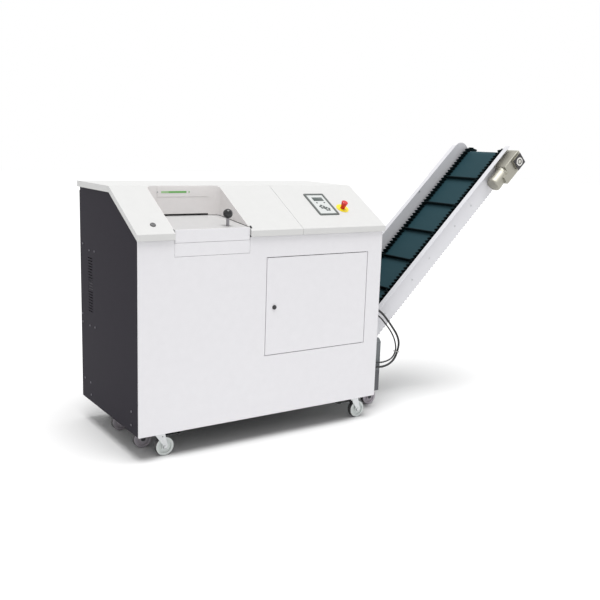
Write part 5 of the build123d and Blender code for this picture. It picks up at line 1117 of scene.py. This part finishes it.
@dataclass
class ConveyorFrame:
    """Side plates, drums, drive and trolley of the conveyor."""

    path: BeltPath
    metal: SheetMetal
    plate_front: float = 0.187
    bolt_places: tuple[float, ...] = (0.474, 0.761, 0.948, 1.233, 1.419)
    bolt_height: float = 0.0
    far_bolt: tuple[float, float, float] = (1.377, 0.553, 0.136)
    pad_side: float = 0.082
    pad_sheet: float = 0.002
    flange_radius: float = 0.027
    flange_sheet: float = 0.003
    groove_outer: float = 0.018
    groove_wall: float = 0.001
    groove_width: float = 0.0025
    groove_share: float = 0.6
    bore_land: float = 0.004
    bore_wall: float = 0.0005
    flange_sides: int = 40
    finishes: dict[str, Finish] = field(
        default_factory=lambda: {
            "conveyor_side_near": PLATE_PAINT,
            "conveyor_side_far": PLATE_PAINT,
            "slider_bed": ZINC,
            "head_drum": DRUM_STEEL,
            "tail_drum": DRUM_STEEL,
            "bend_roller": DRUM_STEEL,
            "conveyor_bearings": CAST_GREY,
            "conveyor_gearmotor": DRIVE_PAINT,
            "trolley_frame": FRAME_PAINT,
            "cable_glands": GLAND,
        }
    )

    def dress(self, nodes: dict[str, bpy.types.Object]) -> None:
        """Paint the conveyor's nodes."""
        for name, finish in self.finishes.items():
            Workshop.coat(nodes[name], finish)
            log.info("painted %s", name)
        for name in ("conveyor_gearmotor", "head_drum", "tail_drum", "bend_roller"):
            Workshop.smooth(nodes[name])
        Workshop.split_coat(nodes["terminal_box"], "terminal_box", BOX_PAINT)
        # The trolley wheels take the darker wheel colours that paint their shade.
        for name in ("trolley_wheels_left", "trolley_wheels_right"):
            Workshop.wheel_coat(nodes[name], name, TROLLEY_PAINTED_SHADE_WHEEL)
            Workshop.smooth(nodes[name])
        Workshop.smooth(nodes["cable_glands"])

    def build(self) -> None:
        """Add the bolts of the side plates and the gearbox's output cover."""
        cabinet = self.path.cabinet
        heads = []
        for along in self.bolt_places:
            x, z = self.path.up(along, self.bolt_height)
            foot = cabinet.point(x, self.plate_front, z)
            heads.append(self.metal.screw("plate_bolt", foot, Vector((0, -1, 0))))
        along, y, out = self.far_bolt
        x, z = self.path.up(along, out)
        heads.append(self.metal.screw("plate_bolt", cabinet.point(x, y, z), Vector((0, -1, 0))))
        Workshop.place(Workshop.join("plate_bolts", heads), ZINC, "cabinet", "zinc")
        self.output_cover()

    def output_cover(self) -> None:
        """Model the gearbox's output cover: a dark pad, a pale flange and the shaft's end."""
        turn = Matrix.Rotation(-self.path.slope, 4, "Y")
        x, z = self.path.up(self.path.incline, 0)
        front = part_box("conveyor_gearmotor")[0].y - self.path.cabinet.corner.y
        foot = self.path.cabinet.point(x, front, z)
        half = self.pad_side / 2
        pad = Workshop.block(
            "output_pad",
            Vector((-half, -self.pad_sheet, -half)),
            Vector((half, 0, half)),
            self.pad_sheet / 2,
        )
        pad.matrix_world = Matrix.Translation(foot) @ turn
        Workshop.settle(pad)
        Workshop.place(pad, DRIVE_DARK, "cabinet", "drive_paint")
        face = foot - Vector((0, self.pad_sheet, 0))
        rings = replace(FLANGE_RINGS, axle=(face.x, face.z))
        Workshop.place(self.flange(face), rings, "cabinet", "drive_paint")

    def flange(self, face: Vector) -> bpy.types.Object:
        """Model a round flange with a groove and a bore on a face towards the front.

        Args:
            face: Middle of the flange's foot.

        Returns:
            The flange, with its place in its mesh.
        """
        Workshop.clear()
        bpy.ops.mesh.primitive_cylinder_add(
            vertices=self.flange_sides, radius=self.flange_radius, depth=self.flange_sheet
        )
        piece = bpy.context.object
        piece.name = "output_flange"
        half = self.flange_sheet / 2
        sunk = self.flange_sheet * self.groove_share
        Workshop.pick_faces(piece, lambda one: one.center.z > half - TOUCH)
        with Workshop.editing():
            bpy.ops.mesh.inset(thickness=self.flange_radius - self.groove_outer)
            bpy.ops.mesh.inset(thickness=self.groove_wall, depth=-sunk)
            bpy.ops.mesh.inset(thickness=self.groove_width)
            bpy.ops.mesh.inset(thickness=self.groove_wall, depth=sunk)
            bpy.ops.mesh.inset(thickness=self.bore_land)
            bpy.ops.mesh.inset(thickness=self.bore_wall, depth=-sunk)
        piece.rotation_euler = Vector((0, -1, 0)).to_track_quat("Z", "Y").to_euler()
        piece.location = face - Vector((0, half, 0))
        Workshop.settle(piece)
        return piece


@dataclass
class Cables:
    """Power and sensor cables on the right side, as points from the cabinet's corner."""

    cabinet: Cabinet
    depth: float = 0.100
    power_diameter: float = 0.013
    sensor_diameter: float = 0.009
    power_length: float = 0.672
    sensor_length: float = 0.596
    power_route: tuple[tuple[float, float], ...] = (
        (1.524, 0.500),
        (1.572, 0.500),
        (1.618, 0.468),
        (1.660, 0.424),
        (1.703, 0.374),
        (1.744, 0.322),
        (1.765, 0.268),
        (1.753, 0.213),
        (1.731, 0.168),
        (1.690, 0.141),
        (1.640, 0.131),
        (1.580, 0.137),
        (1.524, 0.137),
    )
    sensor_route: tuple[tuple[float, float], ...] = (
        (1.524, 0.471),
        (1.564, 0.471),
        (1.604, 0.444),
        (1.650, 0.398),
        (1.694, 0.347),
        (1.724, 0.298),
        (1.739, 0.250),
        (1.738, 0.218),
        (1.718, 0.182),
        (1.680, 0.165),
        (1.630, 0.160),
        (1.575, 0.166),
        (1.524, 0.166),
    )
    tie_place: tuple[float, float] = (1.7460, 0.2160)
    tie_turn: float = math.radians(14)
    tie_size: tuple[float, float, float] = (0.034, 0.021, 0.005)
    tie_sheet: float = 0.0020
    rim_steps: int = 6
    route_steps: int = 12

    def cable(
        self, name: str, route: tuple[tuple[float, float], ...], diameter: float
    ) -> bpy.types.Object:
        """Lay one cable along its route.

        Args:
            name: Name of the piece.
            route: Points along the machine and up from the cabinet's corner.
            diameter: Thickness of the cable.

        Returns:
            The cable as a curve.
        """
        data = bpy.data.curves.new(name, "CURVE")
        data.dimensions = "3D"
        data.bevel_depth = diameter / 2
        data.bevel_resolution = self.rim_steps
        data.use_fill_caps = True
        data.resolution_u = self.route_steps
        line = data.splines.new("NURBS")
        line.points.add(len(route) - 1)
        for spot, (x, z) in zip(line.points, route, strict=True):
            spot.co = (*self.cabinet.point(x, self.depth, z), 1)
        line.order_u = 3
        line.use_endpoint_u = True
        piece = bpy.data.objects.new(name, data)
        bpy.context.scene.collection.objects.link(piece)
        return piece

    def build(self) -> None:
        for name, node, route, diameter, length in (
            ("power_lead", "power_cable", self.power_route, self.power_diameter, self.power_length),
            (
                "sensor_lead",
                "sensor_cable",
                self.sensor_route,
                self.sensor_diameter,
                self.sensor_length,
            ),
        ):
            lead = self.cable(name, route, diameter)
            Workshop.place(lead, CABLE_BLACK, "cabinet", "cable_black")
            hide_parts(node)
            x, z = route[0]
            tuple(self.cabinet.point(x, self.depth, z))
        Workshop.place(self.tie(), TIE_PLASTIC, "cabinet", "cable_black")

    def tie(self) -> bpy.types.Object:
        """Model the band that holds both cables together.

        Returns:
            The band, with its place in its mesh.
        """
        half = Vector(self.tie_size) / 2
        band = Workshop.block("cable_tie", -half, half, 0.0)
        Workshop.pick_faces(band, lambda face: abs(face.normal.z) > FACING)
        with Workshop.editing():
            bpy.ops.mesh.inset(thickness=self.tie_sheet)
            bpy.ops.mesh.bridge_edge_loops()
        x, z = self.tie_place
        place = Matrix.Translation(self.cabinet.point(x, self.depth, z))
        band.matrix_world = place @ Matrix.Rotation(self.tie_turn, 4, "Y")
        Workshop.settle(band)
        return band


@dataclass
class Undercarriage:
    """Casters of the cabinet, and the treads of their brake pedals."""

    corners: tuple[str, ...] = ("front_left", "front_right", "rear_left", "rear_right")
    pedals: tuple[tuple[str, int], ...] = (("front_left", 1), ("front_right", -1))
    tread_length: float = 0.018
    tread_width_share: float = 0.62
    tread_height: float = 0.009
    tread_fall: float = math.radians(16)
    tread_lift: float = 0.007

    def dress(self, nodes: dict[str, bpy.types.Object]) -> None:
        """Paint the casters' nodes."""
        Workshop.coat(nodes["caster_plates"], ZINC)
        for corner in self.corners:
            Workshop.coat(nodes[f"caster_fork_{corner}"], ZINC)
            name = f"caster_wheel_{corner}"
            Workshop.wheel_coat(nodes[name], name, WHEEL)
            Workshop.smooth(nodes[name])
        for corner, _ in self.pedals:
            Workshop.coat(nodes[f"brake_pedal_{corner}"], BLACK_PLASTIC)

    def build(self) -> None:
        """Model the treads that lengthen the brake pedals, each with a raised lip."""
        for corner, turn in self.pedals:
            pedal = f"brake_pedal_{corner}"
            low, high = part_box(pedal)
            middle = (low + high) / 2
            end = high.x if turn > 0 else low.x
            half = (high.y - low.y) / 2 * self.tread_width_share
            tread = Workshop.block(
                f"brake_tread_{corner}",
                Vector((0, -half, -self.tread_height / 2)),
                Vector((self.tread_length, half, self.tread_height / 2)),
                self.tread_height / 4,
            )
            edge = self.tread_length - self.tread_height
            Workshop.pick_faces(
                tread, lambda face: face.normal.x > FACING and face.center.x > edge
            )
            with Workshop.editing():
                bpy.ops.mesh.extrude_region_move(
                    TRANSFORM_OT_translate={"value": (self.tread_height, 0, self.tread_lift)}
                )
            flip = Matrix.Rotation(0 if turn > 0 else math.pi, 4, "Z")
            fall = Matrix.Rotation(self.tread_fall, 4, "Y")
            foot = Vector((end, middle.y, middle.z))
            tread.matrix_world = Matrix.Translation(foot) @ flip @ fall
            Workshop.settle(tread)
            Workshop.place(tread, BLACK_PLASTIC, pedal, "black_plastic")


@dataclass
class Studio:
    """Floor, soft light and the camera of the photograph."""

    cabinet: Cabinet
    eye: tuple[float, float, float] = (-1.5218, -3.5951, 1.4794)
    yaw: float = math.radians(34.40665)
    pitch: float = math.radians(11.09375)
    roll: float = math.radians(1.97107)
    focal_pixels: float = 814.05
    picture_side: int = 600
    sensor: float = 36.0
    floor_side: float = 60.0
    ambient: float = 0.5
    key_power: float = 2.67
    key_turn: tuple[float, float, float] = (math.radians(10), 0.0, 0.0)
    key_spread: float = math.radians(40)
    view_reach: float = 200.0
    paper: float = 0.93
    paper_roughness: float = 0.9

    def camera(self) -> None:
        """Set the camera where the photograph was taken from."""
        data = bpy.data.cameras.new("photo_camera")
        data.sensor_width = self.sensor
        data.lens = self.focal_pixels / self.picture_side * self.sensor
        data.clip_end = self.view_reach
        eye = bpy.data.objects.new("photo_camera", data)
        turn = Matrix.Rotation(-self.yaw, 4, "Z")
        tilt = Matrix.Rotation(math.pi / 2 - self.pitch, 4, "X")
        lean = Matrix.Rotation(self.roll, 4, "Z")
        place = Matrix.Translation(self.cabinet.point(*self.eye))
        eye.matrix_world = place @ turn @ tilt @ lean
        bpy.context.scene.collection.objects.link(eye)
        bpy.context.scene.camera = eye

    def world(self) -> None:
        """Light the scene from all round, with a white background."""
        sky = bpy.data.worlds.new("studio")
        bpy.context.scene.world = sky
        sky.use_nodes = True
        tree = sky.node_tree
        tree.nodes.clear()
        rays = tree.nodes.new("ShaderNodeLightPath")
        seen = self._either(tree, rays.outputs["Is Camera Ray"], rays.outputs["Is Glossy Ray"])
        seen = self._either(tree, seen, rays.outputs["Is Transmission Ray"])
        soft = tree.nodes.new("ShaderNodeBackground")
        soft.inputs["Strength"].default_value = self.ambient
        soft.inputs["Color"].default_value = (1, 1, 1, 1)
        plain = tree.nodes.new("ShaderNodeBackground")
        plain.inputs["Color"].default_value = (1, 1, 1, 1)
        plain.inputs["Strength"].default_value = 1.0
        mix = tree.nodes.new("ShaderNodeMixShader")
        out = tree.nodes.new("ShaderNodeOutputWorld")
        tree.links.new(seen, mix.inputs["Fac"])
        tree.links.new(soft.outputs["Background"], mix.inputs[1])
        tree.links.new(plain.outputs["Background"], mix.inputs[2])
        tree.links.new(mix.outputs["Shader"], out.inputs["Surface"])

    @staticmethod
    def _either(
        tree: bpy.types.NodeTree, first: bpy.types.NodeSocket, second: bpy.types.NodeSocket
    ) -> bpy.types.NodeSocket:
        """Return the larger of two ray flags."""
        larger = tree.nodes.new("ShaderNodeMath")
        larger.operation = "MAXIMUM"
        tree.links.new(first, larger.inputs[0])
        tree.links.new(second, larger.inputs[1])
        return larger.outputs["Value"]

    def floor(self) -> None:
        """Lay the pale floor, which keeps the machine's shadow."""
        Workshop.clear()
        bpy.ops.mesh.primitive_plane_add(size=self.floor_side, location=(0, 0, 0))
        floor = bpy.context.object
        floor.name = "studio_floor"
        paper = bpy.data.materials.new("floor_paper")
        paper.use_nodes = True
        shader = paper.node_tree.nodes["Principled BSDF"]
        shader.inputs["Base Color"].default_value = (self.paper, self.paper, self.paper, 1)
        shader.inputs["Roughness"].default_value = self.paper_roughness
        shader.inputs["Specular IOR Level"].default_value = 0.0
        floor.data.materials.append(paper)

    def lamps(self) -> None:
        """Light the machine softly from above and a little from the front."""
        data = bpy.data.lights.new("key_light", "SUN")
        data.energy = self.key_power
        data.angle = self.key_spread
        lamp = bpy.data.objects.new("key_light", data)
        lamp.rotation_euler = Euler(self.key_turn)
        bpy.context.scene.collection.objects.link(lamp)

    def build(self) -> None:
        """Set up the studio."""
        bpy.context.scene.view_settings.view_transform = "Standard"
        self.camera()
        self.world()
        self.floor()
        self.lamps()


def main() -> None:
    """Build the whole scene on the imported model."""
    logging.basicConfig(level=logging.INFO, format="%(message)s")
    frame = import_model()
    nodes = frame["nodes"]
    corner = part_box("front_panel")[0]
    cabinet = Cabinet(corner)
    metal = SheetMetal(cabinet)
    path = BeltPath(cabinet)
    conveyor = ConveyorFrame(path, metal)
    panel = ControlPanel(cabinet)
    Studio(cabinet).build()
    Cables(cabinet).build()
    casters = Undercarriage()
    for group in (metal, panel, conveyor, casters):
        group.dress(nodes)
    for group in (metal, FeedRecess(cabinet), panel, ConveyorBelt(path), conveyor, casters):
        group.build()


if __name__ == "__main__":
    main()
